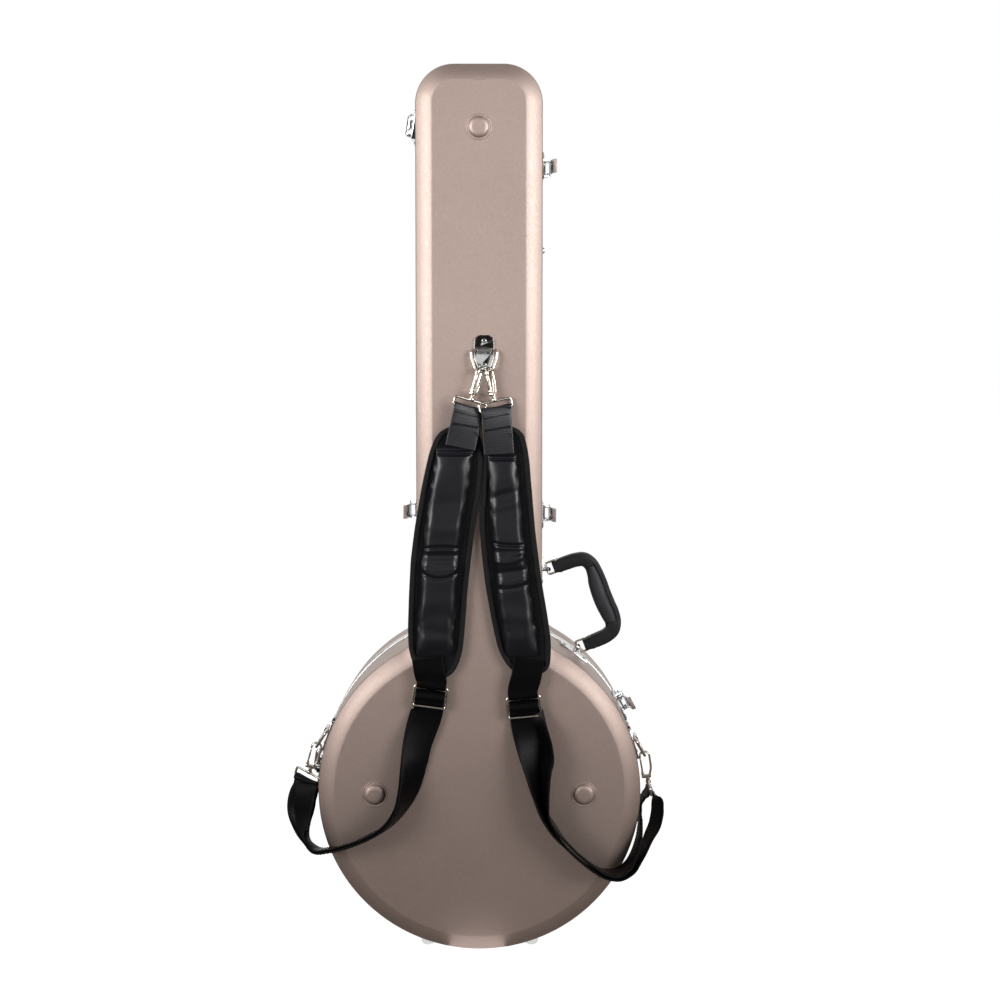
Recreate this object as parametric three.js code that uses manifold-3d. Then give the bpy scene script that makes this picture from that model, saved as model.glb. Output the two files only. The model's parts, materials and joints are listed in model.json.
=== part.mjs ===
// Moulded banjo case, standing upright, seen from the back that is worn against the player.
// Millimetres. X to the right, Y from the back face towards the lid face, Z up. Y = 0 is the parting plane.
import * as THREE from 'three';
import { mergeVertices } from 'three/addons/utils/BufferGeometryUtils.js';
import Module from 'manifold-3d';

const wasm = await Module();
wasm.setup();

// Outline of the case
const caseLength = 1088;
const standHeight = 2;
const bodyRadius = 199;
const neckWidth = 154;
const cornerRadius = 47;
const waistRadius = 40;

// Depth and walls
const backDepth = 97;
const lidDepth = 68;
const wallThickness = 3.5;
const bevelWidth = 20.7;
const bevelDepth = 11;
const bevelStartShare = 0.45;

// Rim
const valanceProud = 1.5;
const valanceReach = 9;
const valanceSheet = 1.3;
const tongueRise = 2.2;
const tongueStand = 1.2;

// Clearances
const gap = 0.3;
const slideGap = 0.5;
const overrun = 5;

// Places along the case, as heights above the stand and sides
const bodyCentreZ = standHeight + bodyRadius;
const neckHalf = neckWidth / 2;
const neckTopZ = standHeight + caseLength;
const neckSpan = neckTopZ - bodyCentreZ;
const alongNeck = (share) => bodyCentreZ + share * neckSpan;

// Steps of the round stretches
const bodySteps = 16;
const waistSteps = 4;
const cornerSteps = 5;

// Materials
function paint(color, roughness, metalness) {
  return new THREE.MeshStandardMaterial({ color, roughness, metalness });
}
const shellPaint = () => paint(0x9d857a, 0.42, 0.35);
const rimMetal = () => paint(0xc9c6c2, 0.3, 1);
const chrome = () => paint(0xd4d2ce, 0.16, 1);
const nickel = () => paint(0xcabfae, 0.2, 1);
const plush = () => paint(0x2a2528, 0.95, 0);
const padFabric = () => paint(0x202024, 0.7, 0);
const webbing = () => paint(0x151517, 0.75, 0);
const gripCover = () => paint(0x232327, 0.6, 0);
const board = () => paint(0x3a3236, 0.9, 0);

// Solids: a closed geometry turned into a body that can be joined and cut, and back
function solidOf(geometry, matrix) {
  const plain = geometry.clone();
  for (const name of ['normal', 'uv']) plain.deleteAttribute(name);
  if (matrix) plain.applyMatrix4(matrix);
  const merged = mergeVertices(plain);
  const triVerts = new Uint32Array(wholeTriangles(merged.index.array));
  if (matrix && matrix.determinant() < 0) triVerts.reverse();
  const vertProperties = new Float32Array(merged.attributes.position.array);
  return new wasm.Manifold(new wasm.Mesh({ numProp: 3, vertProperties, triVerts }));
}

// Triangles that keep three different corners, because a pole of a turned piece has flat ones
function wholeTriangles(index) {
  const kept = [];
  for (let t = 0; t < index.length; t += 3) {
    const [a, b, c] = [index[t], index[t + 1], index[t + 2]];
    if (a !== b && b !== c && a !== c) kept.push(a, b, c);
  }
  return kept;
}

function geometryOf(solid) {
  const mesh = solid.getMesh();
  const geometry = new THREE.BufferGeometry();
  geometry.setAttribute('position', new THREE.BufferAttribute(new Float32Array(mesh.vertProperties), 3));
  geometry.setIndex(new THREE.BufferAttribute(new Uint32Array(mesh.triVerts), 1));
  return geometry;
}

const joined = (...solids) => solids.reduce((a, b) => a.add(b));
const cutFrom = (solid, ...tools) => tools.reduce((a, b) => a.subtract(b), solid);
const at = (x, y, z) => new THREE.Matrix4().makeTranslation(x, y, z);
const turned = (axis, angle) => new THREE.Matrix4().makeRotationAxis(axis, angle);
const X = new THREE.Vector3(1, 0, 0);
const Y = new THREE.Vector3(0, 1, 0);
const Z = new THREE.Vector3(0, 0, 1);
const quarter = Math.PI / 2;

// A block between two corners
function block(x0, x1, y0, y1, z0, z1) {
  const geometry = new THREE.BoxGeometry(x1 - x0, y1 - y0, z1 - z0);
  return solidOf(geometry, at((x0 + x1) / 2, (y0 + y1) / 2, (z0 + z1) / 2));
}

// A round bar from one point to another
function bar(from, to, radius, sides = 12, endRadius = radius) {
  const start = new THREE.Vector3(...from);
  const run = new THREE.Vector3(...to).sub(start);
  const geometry = new THREE.CylinderGeometry(endRadius, radius, run.length(), sides);
  const turn = new THREE.Quaternion().setFromUnitVectors(Y, run.clone().normalize());
  const middle = start.clone().addScaledVector(run, 1 / 2);
  return solidOf(geometry, new THREE.Matrix4().compose(middle, turn, new THREE.Vector3(1, 1, 1)));
}

// A turned piece: its profile of radius and height pairs starts and ends on the axis, which is local Z
function turnedPiece(profile, sides, matrix = at(0, 0, 0)) {
  const points = profile.map(([radius, height]) => new THREE.Vector2(radius, height));
  const upright = turned(X, quarter);
  return solidOf(new THREE.LatheGeometry(points, sides), matrix.clone().multiply(upright));
}

// A flat outline of points, extruded from one depth to another along its own Z
function plate(points, thickness, matrix = at(0, 0, 0)) {
  const shape = new THREE.Shape(points.map(([x, y]) => new THREE.Vector2(x, y)));
  const geometry = new THREE.ExtrudeGeometry(shape, { depth: thickness, bevelEnabled: false });
  return solidOf(geometry, matrix);
}

// A closed surface through equal rings of points: capped at both ends, or closed end to end.
// The sides listed last are split into triangles along their other diagonal.
function skin(rings, closed, capPlane = null, otherWay = []) {
  const count = rings[0].length;
  const positions = rings.flat().flatMap((p) => [p.x, p.y, p.z]);
  const index = [];
  const last = closed ? rings.length : rings.length - 1;
  for (let r = 0; r < last; r += 1) {
    const next = (r + 1) % rings.length;
    for (let k = 0; k < count; k += 1) {
      const a = r * count + k;
      const b = r * count + ((k + 1) % count);
      const c = next * count + k;
      const d = next * count + ((k + 1) % count);
      index.push(...(otherWay.includes(k) ? [a, b, d, a, d, c] : [a, b, c, b, d, c]));
    }
  }
  if (!closed) {
    capRing(rings[0], 0, index, true, capPlane);
    capRing(rings[rings.length - 1], (rings.length - 1) * count, index, false, capPlane);
  }
  const geometry = new THREE.BufferGeometry();
  geometry.setAttribute('position', new THREE.Float32BufferAttribute(positions, 3));
  geometry.setIndex(signedVolume(positions, index) < 0 ? index.reverse() : index);
  return geometry;
}

// A cap over one ring, seen along the ring's own axis when no plane is named
function capRing(ring, first, index, start, capPlane) {
  const flat = capPlane ? ring.map(capPlane) : null;
  if (!flat) {
    for (let k = 1; k < ring.length - 1; k += 1) {
      index.push(...(start ? [first, first + k + 1, first + k] : [first, first + k, first + k + 1]));
    }
    return;
  }
  const ccw = THREE.ShapeUtils.area(flat) > 0;
  for (const [a, b, c] of THREE.ShapeUtils.triangulateShape(flat, [])) {
    const forward = THREE.ShapeUtils.area([flat[a], flat[b], flat[c]]) > 0 === ccw;
    index.push(...(forward === start ? [first + a, first + c, first + b] : [first + a, first + b, first + c]));
  }
}

function signedVolume(positions, index) {
  let volume = 0;
  const corner = (i) => new THREE.Vector3(positions[3 * i], positions[3 * i + 1], positions[3 * i + 2]);
  for (let t = 0; t < index.length; t += 3) {
    volume += corner(index[t]).dot(corner(index[t + 1]).cross(corner(index[t + 2]))) / 6;
  }
  return volume;
}

// The outline of the case, moved inwards by an inset, as points of X and Z that run anticlockwise from the tail
const waistX = neckHalf + waistRadius;
const waistZ = bodyCentreZ + Math.sqrt((bodyRadius + waistRadius) ** 2 - waistX ** 2);
const waistAngle = Math.atan2(waistZ - bodyCentreZ, waistX);

function arc(centreX, centreZ, radius, from, to, steps, skipFirst = false) {
  const points = [];
  for (let k = skipFirst ? 1 : 0; k <= steps; k += 1) {
    const angle = from + ((to - from) * k) / steps;
    points.push([centreX + radius * Math.cos(angle), centreZ + radius * Math.sin(angle)]);
  }
  return points;
}

function outline(inset) {
  const right = [
    ...arc(0, bodyCentreZ, bodyRadius - inset, -quarter, waistAngle, bodySteps),
    ...arc(waistX, waistZ, waistRadius + inset, waistAngle + Math.PI, Math.PI, waistSteps, true),
    ...arc(neckHalf - cornerRadius, neckTopZ - cornerRadius, cornerRadius - inset, 0, quarter, cornerSteps),
  ];
  const left = right.slice(1).reverse().map(([x, z]) => [-x, z]);
  return [...right, ...left];
}

// Rings of the outline at given insets and depths, joined into one body
const flatXZ = (p) => new THREE.Vector2(p.x, p.z);

function rimmed(profile, closed = false) {
  const rings = profile.map(([inset, y]) => outline(inset).map(([x, z]) => new THREE.Vector3(x, y, z)));
  return solidOf(skin(rings, closed, flatXZ));
}

// The rolled edge of a shell: how far the face has fallen at a share of the bevel's width
const bevelShares = [0, 0.25, 0.5, 0.78, 1];
const innerBevelShares = [0, 0.5, 1];

function bevelFall(share) {
  return bevelDepth * (bevelStartShare * share + (1 - bevelStartShare) * share * share);
}

function bevelRings(inset, depth, side, shares = bevelShares) {
  return shares.map((share) => [
    inset + bevelWidth * (1 - share),
    side * (depth - bevelFall(share)),
  ]);
}

// The wall of a shell stops inside its rim
const shellEdge = valanceSheet + 2 * gap;

// A moulded shell: rolled outer face, side wall, edge, and the same form inside at the wall's thickness
function shellSolid(depth, side) {
  const outer = bevelRings(0, depth, side);
  const inner = bevelRings(wallThickness, depth - wallThickness, side, innerBevelShares).reverse();
  return rimmed([...outer, [0, side * shellEdge], [wallThickness, side * shellEdge], ...inner]);
}

// Resting bosses moulded into the back face
const bossRadius = 13.5;
const bossRise = 5;
const bossFlatShare = 0.45;
const bossShares = [0.35, 0.7];
const bossBelow = 2;
const bossSpreadShare = 0.6457;
const bossPlaces = [
  [0, neckTopZ - neckHalf],
  [-bossSpreadShare * bodyRadius, bodyCentreZ],
  [bossSpreadShare * bodyRadius, bodyCentreZ],
];

function bossSolid(x, z) {
  const profile = [[0, -bossBelow], [bossRadius, -bossBelow], [bossRadius, 0]];
  for (const share of bossShares) {
    const radius = bossRadius * (1 - (1 - bossFlatShare) * share * share);
    profile.push([radius, bossRise * share]);
  }
  profile.push([bossRadius * bossFlatShare, bossRise], [0, bossRise]);
  return turnedPiece(profile, 20, at(x, -backDepth, z).multiply(turned(X, quarter)));
}

// The rim of the back shell: outer leg, web over the shell's edge, inner leg, and the tongue the lid closes on
const outerLeg = [-valanceProud, -gap];
const innerLeg = [wallThickness + gap, wallThickness + gap + valanceSheet];
const tongue = [innerLeg[1] + tongueStand, innerLeg[1] + tongueStand + valanceSheet];

function backValanceSolid() {
  return rimmed([
    [outerLeg[0], -valanceReach],
    [outerLeg[0], -gap],
    [tongue[0], -gap],
    [tongue[0], tongueRise],
    [tongue[1], tongueRise],
    [tongue[1], -valanceReach],
    [innerLeg[0], -valanceReach],
    [innerLeg[0], -gap - valanceSheet],
    [outerLeg[1], -gap - valanceSheet],
    [outerLeg[1], -valanceReach],
  ], true);
}

function lidValanceSolid() {
  return rimmed([
    [outerLeg[0], valanceReach],
    [outerLeg[0], gap],
    [innerLeg[1], gap],
    [innerLeg[1], valanceReach],
    [innerLeg[0], valanceReach],
    [innerLeg[0], gap + valanceSheet],
    [outerLeg[1], gap + valanceSheet],
    [outerLeg[1], valanceReach],
  ], true);
}

// Everything that is placed on the case
const parts = new THREE.Group();

function place(name, geometry, material, holder = parts) {
  const mesh = new THREE.Mesh(geometry, material);
  mesh.name = name;
  holder.add(mesh);
  return mesh;
}

// The shells and their rims
const backShell = bossPlaces.reduce((shell, [x, z]) => shell.add(bossSolid(x, z)), shellSolid(backDepth, -1));
place('back_shell', geometryOf(backShell), shellPaint());
place('lid_shell', geometryOf(shellSolid(lidDepth, 1)), shellPaint());
place('back_valance', geometryOf(backValanceSolid()), rimMetal());
place('lid_valance', geometryOf(lidValanceSolid()), rimMetal());

// Padded linings: foam under plush, with the room for the instrument cut out. Each is moulded in two pieces
// that meet in a seam below the neck: one round the body and one along the neck.
const bodyPadding = 12;
const channelPadding = 14;
const endPadding = 17;
const liningFloor = 9;
const liningTop = 2.5;
const liningSeamShare = 0.925;
const cavityFloor = backDepth - wallThickness - liningFloor;
const lidCavityFloor = lidDepth - wallThickness - liningFloor;
const channelHalf = neckHalf - wallThickness - channelPadding;
const channelTopZ = neckTopZ - wallThickness - endPadding;
const liningSeamZ = bodyCentreZ + liningSeamShare * bodyRadius;

function cavitySolid(y0, y1) {
  const radius = bodyRadius - wallThickness - bodyPadding;
  const upright = at(0, 0, bodyCentreZ).multiply(turned(X, -quarter));
  const body = turnedPiece([[0, y0], [radius, y0], [radius, y1], [0, y1]], 36, upright);
  return body.add(block(-channelHalf, channelHalf, y0, y1, bodyCentreZ, channelTopZ));
}

function liningSolid(depth, side, rimInset, floorY) {
  const inset = wallThickness + gap;
  const padding = rimmed([
    ...bevelRings(inset, depth - inset, side, innerBevelShares),
    [inset, side * (valanceReach + gap)],
    [rimInset, side * (valanceReach + gap)],
    [rimInset, side * liningTop],
  ]);
  const ends = [side * floorY, side * (liningTop - overrun)].sort((a, b) => a - b);
  return cutFrom(padding, cavitySolid(...ends));
}

const beyond = (z0, z1) => block(-2 * bodyRadius, 2 * bodyRadius, -2 * backDepth, 2 * backDepth, z0, z1);
function placeLining(name, solid) {
  place(`${name}_body`, geometryOf(solid.subtract(beyond(liningSeamZ, 2 * neckTopZ))), plush());
  place(`${name}_neck`, geometryOf(solid.subtract(beyond(-neckTopZ, liningSeamZ + gap))), plush());
}

placeLining('back_lining', liningSolid(backDepth, -1, tongue[1] + gap, cavityFloor));
placeLining('lid_lining', liningSolid(lidDepth, 1, innerLeg[1] + gap, lidCavityFloor));

// The neck rest with its notch, and the accessory compartment above it with a lid that lifts
const cradleZ = alongNeck(0.493813);
const cradleThickness = 48;
const cradleTopY = -12;
const notchHalf = 24;
const notchY = -46;
const compartmentLength = 92;
const boardThickness = 6;
const compartmentLidY = -46;
const lidEdgeGap = 1.5;
const compartmentWallZ = cradleZ + cradleThickness + compartmentLength;

function cradleSolid() {
  const half = channelHalf - gap;
  const floor = -cavityFloor + gap;
  const rest = block(-half, half, floor, cradleTopY, cradleZ, cradleZ + cradleThickness);
  const restTop = cradleZ + cradleThickness;
  const notchTop = cradleTopY + overrun;
  const notch = block(-notchHalf, notchHalf, notchY, notchTop, cradleZ - overrun, restTop + overrun);
  const sill = block(-half, half, floor, floor + boardThickness, restTop - gap, compartmentWallZ + gap);
  const wallEnd = compartmentWallZ + boardThickness;
  const wall = block(-half, half, floor, compartmentLidY - gap, compartmentWallZ, wallEnd);
  return joined(rest.subtract(notch), sill, wall);
}

place('neck_cradle', geometryOf(cradleSolid()), board());
const lidBoardHalf = channelHalf - 2 * slideGap;
const lidBoardStart = cradleZ + cradleThickness + lidEdgeGap;
const lidBoard = place('compartment_lid', new THREE.BoxGeometry(
  2 * lidBoardHalf,
  boardThickness,
  compartmentWallZ + boardThickness - lidBoardStart,
), board());
lidBoard.position.y = compartmentLidY + boardThickness / 2;
lidBoard.position.z = (lidBoardStart + compartmentWallZ + boardThickness) / 2;

// What hardware is cut to where it sits: the walls with a hair of clearance, and the rims proud of them
function wallEnvelope() {
  const rim = valanceReach + gap;
  const proud = -valanceProud - gap;
  return rimmed([[-gap, -backDepth], [-gap, -rim], [proud, -rim], [proud, rim], [-gap, rim], [-gap, lidDepth]]);
}
const envelope = wallEnvelope();

// A frame on the wall: local Z points out of the wall, local X runs along it and local Y is depth
function wallFrame(x, z, outward, depth = 0) {
  const frame = new THREE.Group();
  frame.position.set(x, depth, z);
  frame.rotation.y = outward;
  frame.updateMatrix();
  parts.add(frame);
  return frame;
}

function seated(solid, frame) {
  const inverse = frame.matrix.clone().invert();
  return cutFrom(solid, solidOf(geometryOf(envelope), inverse));
}

// Rivets: a low dome over a sheet
const wallBite = 6;
const rivetRadius = 3;
const rivetRise = 1.6;
const rivetSink = 0.2;
const rivetShares = [[0, 0], [1, 0], [0.8, 0.75], [0, 1]];

function rivetSolid(x, y, sheet, size = 1) {
  const profile = rivetShares.map(([out, up]) => [out * rivetRadius * size, up * rivetRise * size]);
  return turnedPiece(profile, 8, at(x, y, sheet - rivetSink));
}

// Hinges: two on one slanted axis that touches the body's circle and runs up past the neck
const hingeStandoff = 11;
const hingeTopZ = alongNeck(0.931384);
const hingeLowDrop = 18;
const knuckleRadius = 5.2;
const knuckleLength = 24;
const pinRadius = 2;
const leafLength = 41;
const leafReach = 36;
const leafStart = 11;
const leafOut = 5;
const leafBite = 8;
const armStart = 1;
const armEnd = 7;
const leafRivetRise = 1;
const leafRivetShare = 1 / 3;
const leafRivetRowShare = 0.7;
const centreKnuckleShare = 0.4;
const pinHeadRadius = 3.4;
const pinHeadRise = 3;
const pinHeadShares = [[1, 0], [0.88, 0.67], [0, 1]];

const hingeTopX = -(neckHalf + hingeStandoff);
const hingeCircle = bodyRadius + hingeStandoff;
const topDistance = Math.hypot(hingeTopX, hingeTopZ - bodyCentreZ);
const touchAngle = Math.atan2(hingeTopZ - bodyCentreZ, hingeTopX) + Math.acos(hingeCircle / topDistance);
const touchX = hingeCircle * Math.cos(touchAngle);
const touchZ = bodyCentreZ + hingeCircle * Math.sin(touchAngle);
const hingeLean = Math.atan2(hingeTopX - touchX, hingeTopZ - touchZ);
const hingePlaces = [
  ['upper', hingeTopX, hingeTopZ],
  ['lower', touchX - hingeLowDrop * Math.sin(hingeLean), touchZ - hingeLowDrop * Math.cos(hingeLean)],
];

// In a hinge's own frame Z is the pin, X points into the case and Y is depth; side is -1 for the back leaf
function hingeLeaf(frame, side, knuckles) {
  const wallX = hingeStandoff;
  const ends = [side * leafStart, side * leafReach].sort((a, b) => a - b);
  const flange = block(wallX - leafOut, wallX + leafBite, ends[0], ends[1], -leafLength / 2, leafLength / 2);
  let leaf = seated(flange, frame);
  for (const rivet of [-1, 1]) {
    const z = rivet * leafLength * leafRivetShare;
    const y = side * (leafReach - leafStart * leafRivetRowShare);
    const face = wallX - leafOut;
    leaf = leaf.add(bar([face - leafRivetRise, y, z], [face + leafRivetRise, y, z], rivetRadius, 8));
  }
  for (const [from, to] of knuckles) {
    const reach = [0, side * (leafStart + overrun)].sort((a, b) => a - b);
    leaf = leaf.add(bar([0, 0, from], [0, 0, to], knuckleRadius, 14));
    leaf = leaf.add(block(armStart, armEnd, reach[0], reach[1], from, to));
  }
  return leaf;
}

// The pin is held in the back leaf's two knuckles and runs through the lid leaf's one
function pinSolid(half) {
  const head = pinHeadShares.map(([out, up]) => [out * pinHeadRadius, half + up * pinHeadRise]);
  const foot = head.map(([radius, z]) => [radius, -z]).reverse();
  return turnedPiece([...foot, [pinRadius, -half], [pinRadius, half], ...head], 12);
}

const centreKnuckle = knuckleLength * centreKnuckleShare;
for (const [which, x, z] of hingePlaces) {
  const frame = new THREE.Group();
  frame.position.set(x, 0, z);
  frame.rotation.y = hingeLean;
  frame.updateMatrix();
  parts.add(frame);
  const half = knuckleLength / 2;
  const inner = centreKnuckle / 2;
  const backLeaf = hingeLeaf(frame, -1, [[-half, -inner - gap], [inner + gap, half]]).add(pinSolid(half));
  place(`hinge_${which}_back_leaf`, geometryOf(backLeaf), chrome(), frame);
  const bore = bar([0, 0, -leafLength], [0, 0, leafLength], pinRadius + gap, 12);
  const lidLeaf = hingeLeaf(frame, 1, [[-inner, inner]]).subtract(bore);
  place(`hinge_${which}_lid_leaf`, geometryOf(lidLeaf), chrome(), frame);
}

// Height of the handle's upper bracket; the two latches by the waist keep clear of it
const handleAboveWaist = 58.1;
const handleTopZ = waistZ + handleAboveWaist;
const bracketLength = 41;

// Draw latches: base and lever on the back shell, a claw that hangs in the lever, and a catch on the lid
const latchWidth = 33.5;
const latchReach = 46;
const latchStart = 11;
const latchSheet = 2.2;
const pivotDepth = -15;
const pivotHeight = 8.5;
const bailDepth = -21.5;
const bailHeight = 4.3;
const stubRadius = 1.6;
const bailPinRadius = 1.2;
const leverHalf = 8.5;
const cheekSheet = 1.5;
const earInner = 9;
const earSheet = 2;
const clawHalf = 6.5;
const clawSheet = 1.4;
const earReach = 21;
const earOver = 3.4;
const earShares = [[-1, 0.042], [-0.524, 0.042], [-0.524, 0.714], [-0.595, 1], [-0.833, 1], [-0.952, 0.714]];
const baseRivetInset = 4;
const baseRivetEdge = 5;
const hubRadius = 4;
const cheekShares = [[1, 0], [0.7, 0.7], [0, 1], [-3.5, 0.65], [-3.5, 0.225], [-2.625, -0.6],
  [-2.125, -1.45], [-1.15, -1.45], [0, -1], [0.7, -0.7]];
const leverReach = 33;
const leverRise = 10.4;
const leverShares = [[-0.267, 0.115], [-0.267, 0.308], [-0.879, 0.721], [-0.955, 1],
  [-1, 0.942], [-0.927, 0.538]];
const clawReach = 37;
const clawShares = [[-0.027, -0.5], [-0.027, 0.5], [0.905, 0.5], [0.905, 1.714], [0.986, 1.357], [1, -0.5]];
const pinEndGap = 0.2;
const catchHalf = 9;
const catchStart = 10;
const catchReach = 24;
const catchSheet = 1.8;
const catchTop = 2.9;
const lipStart = 10.5;
const lipEnd = 12.6;
const lipFoot = 1;
const catchRivetX = 5;
const catchRivetY = 19;
const catchRivetShare = 0.85;

// A flat outline in depth and height, with a thickness along local X
function sideCut(points, x0, x1) {
  const upright = new THREE.Matrix4().makeBasis(Y, Z, X).setPosition(x0, 0, 0);
  return plate(points, x1 - x0, upright);
}

// An outline given as shares of a length in depth and a height
const sized = (shares, length, height) => shares.map(([y, z]) => [y * length, z * height]);

function latchBase(frame) {
  const sheet = block(-latchWidth / 2, latchWidth / 2, -latchReach, -latchStart, -wallBite, latchSheet);
  let base = seated(sheet, frame);
  for (const side of [-1, 1]) {
    const x0 = side > 0 ? earInner : -earInner - earSheet;
    base = base.add(sideCut(sized(earShares, earReach, pivotHeight + earOver), x0, x0 + earSheet));
    const rivetX = side * (latchWidth / 2 - baseRivetInset);
    base = base.add(rivetSolid(rivetX, baseRivetEdge - latchReach, latchSheet));
  }
  const across = [-latchWidth, latchWidth].map((x) => [x, pivotDepth, pivotHeight]);
  return base.subtract(bar(...across, stubRadius + gap, 12));
}

// The lever is drawn about its own pivot
function latchLever() {
  let lever = sideCut(sized(leverShares, leverReach, leverRise), -leverHalf, leverHalf);
  for (const side of [-1, 1]) {
    const x0 = side > 0 ? leverHalf - cheekSheet : -leverHalf;
    lever = lever.add(sideCut(sized(cheekShares, hubRadius, hubRadius), x0, x0 + cheekSheet));
    const inner = side * (leverHalf - cheekSheet / 2);
    lever = lever.add(bar([inner, 0, 0], [side * (earInner + earSheet), 0, 0], stubRadius, 12));
  }
  const y = bailDepth - pivotDepth;
  const z = bailHeight - pivotHeight;
  return lever.subtract(bar([-latchWidth, y, z], [latchWidth, y, z], bailPinRadius + gap, 10));
}

// The claw is drawn about its pin
function latchBail() {
  const pinHalf = leverHalf - pinEndGap;
  const claw = sideCut(sized(clawShares, clawReach, clawSheet), -clawHalf, clawHalf);
  return claw.add(bar([-pinHalf, 0, 0], [pinHalf, 0, 0], bailPinRadius, 10));
}

function latchCatch(frame) {
  const foot = seated(block(-catchHalf, catchHalf, catchStart, catchReach, -wallBite, catchSheet), frame);
  const lip = block(-clawHalf, clawHalf, lipStart, lipEnd, lipFoot, catchTop);
  const heads = [-1, 1].map((side) => rivetSolid(side * catchRivetX, catchRivetY, catchSheet, catchRivetShare));
  return joined(foot, lip, ...heads);
}

const shoulderAngle = 0.4815;
const latchAboveHandle = 34.25;
const latchStagger = 4;
const waistLatchZ = handleTopZ + bracketLength / 2 + latchAboveHandle + latchWidth / 2;
const shoulderX = bodyRadius * Math.cos(shoulderAngle);
const shoulderZ = bodyCentreZ + bodyRadius * Math.sin(shoulderAngle);
const latchPlaces = [
  ['neck_right', neckHalf, alongNeck(0.868391), quarter],
  ['waist_left', -neckHalf, waistLatchZ + latchStagger, -quarter],
  ['waist_right', neckHalf, waistLatchZ, quarter],
  ['shoulder_right', shoulderX, shoulderZ, quarter - shoulderAngle],
];

for (const [which, x, z, outward] of latchPlaces) {
  const frame = wallFrame(x, z, outward);
  place(`latch_${which}_base`, geometryOf(latchBase(frame)), chrome(), frame);
  const lever = place(`latch_${which}_lever`, geometryOf(latchLever()), chrome(), frame);
  lever.position.set(0, pivotDepth, pivotHeight);
  const bail = place(`latch_${which}_bail`, geometryOf(latchBail()), chrome(), frame);
  bail.position.set(0, bailDepth, bailHeight);
  place(`latch_${which}_catch`, geometryOf(latchCatch(frame)), chrome(), frame);
}

// A wire bent in one plane through points, closed or open
function bentWire(points, normal, radius, closed, sides = 6) {
  const places = points.map((p) => new THREE.Vector3(...p));
  const across = new THREE.Vector3(...normal).normalize();
  const count = places.length;
  const rings = places.map((place, k) => {
    const before = places[closed ? (k + count - 1) % count : Math.max(k - 1, 0)];
    const after = places[closed ? (k + 1) % count : Math.min(k + 1, count - 1)];
    const side = after.clone().sub(before).cross(across).normalize();
    return Array.from({ length: sides }, (_, s) => {
      const turn = (2 * Math.PI * s) / sides;
      const point = place.clone().addScaledVector(across, radius * Math.cos(turn));
      return point.addScaledVector(side, radius * Math.sin(turn));
    });
  });
  return solidOf(skin(rings, closed));
}

// Points of a rectangle with round corners, in local X and Y, between heights low and high
function roundLoop(half, low, high, corner, steps = 3) {
  return [
    ...arc(half - corner, high - corner, corner, 0, quarter, steps),
    ...arc(corner - half, high - corner, corner, quarter, 2 * quarter, steps),
    ...arc(corner - half, low + corner, corner, 2 * quarter, 3 * quarter, steps),
    ...arc(half - corner, low + corner, corner, 3 * quarter, 4 * quarter, steps),
  ];
}

// Carrying handle on the right, hung in two wire rings; it swings about the line between their brackets
const handleDepth = -25;
const handleStand = 8;
const handleLowAngle = 0.932;
const handleReach = 54;
const ringWire = 1.5;
const ringHalf = 7.5;
const ringReach = 14;
const ringCorner = 2.5;
const barrelInner = 3.6;
const barrelOuter = 4.9;
const barrelHalf = 2;
const bracketRivetInset = 5;
const bracketHalf = 9;
const bracketSheet = 2;
const legHalf = 8.5;
const gripDeepShare = 1.05;

const handleTop = new THREE.Vector3(neckHalf + handleStand, handleDepth, handleTopZ);
const lowRadius = bodyRadius + handleStand;
const handleLow = new THREE.Vector3(
  lowRadius * Math.cos(handleLowAngle),
  handleDepth,
  bodyCentreZ + lowRadius * Math.sin(handleLowAngle),
);
const handleChord = handleLow.clone().sub(handleTop);
const chordLength = handleChord.length();

// Along the chord, out from it, and the half width, each as a share
const handleShares = [
  [0.01, 0.15, 0.8], [0.01, 0.3, 0.95], [0.012, 0.5, 1], [0.02, 0.72, 1], [0.05, 0.9, 1.02], [0.13, 1, 1.08],
  [0.24, 1.02, 1.2], [0.36, 1, 1.4], [0.5, 0.985, 1.45], [0.64, 0.99, 1.45], [0.77, 1.01, 1.38], [0.87, 1, 1.2],
  [0.95, 0.92, 1.06], [0.985, 0.78, 1], [0.998, 0.56, 1], [1, 0.36, 0.95], [1, 0.17, 0.8],
];

const handleFrame = new THREE.Group();
handleFrame.position.copy(handleTop);
handleFrame.rotation.y = Math.atan2(handleChord.x, handleChord.z);
parts.add(handleFrame);

// In the handle's frame Z runs down the chord, X points back towards the case and Y is depth
function gripSolid() {
  const rings = handleShares.map(([along, out, half], k) => {
    const before = handleShares[Math.max(k - 1, 0)];
    const after = handleShares[Math.min(k + 1, handleShares.length - 1)];
    const rise = (after[0] - before[0]) * chordLength;
    const run = new THREE.Vector2(rise, (after[1] - before[1]) * handleReach).normalize();
    const wide = legHalf * half;
    return Array.from({ length: 12 }, (_, s) => {
      const turn = (2 * Math.PI * s) / 12;
      const shift = wide * Math.cos(turn);
      const x = -(out * handleReach + shift * run.x);
      return new THREE.Vector3(x, wide * gripDeepShare * Math.sin(turn), along * chordLength - shift * run.y);
    });
  });
  const grip = solidOf(skin(rings, false));
  return cutFrom(grip, ringSolid(0, ringWire + gap), ringSolid(chordLength, ringWire + gap));
}

function ringSolid(along, radius) {
  const loop = roundLoop(ringHalf, -ringReach, 0, ringCorner, 2).map(([z, x]) => [x, 0, along + z]);
  return bentWire(loop, [0, 1, 0], radius, true, 8);
}

place('handle_grip', geometryOf(gripSolid()), gripCover(), handleFrame);
place('handle_ring_upper', geometryOf(ringSolid(0, ringWire)), nickel(), handleFrame);
place('handle_ring_lower', geometryOf(ringSolid(chordLength, ringWire)), nickel(), handleFrame);

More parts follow.
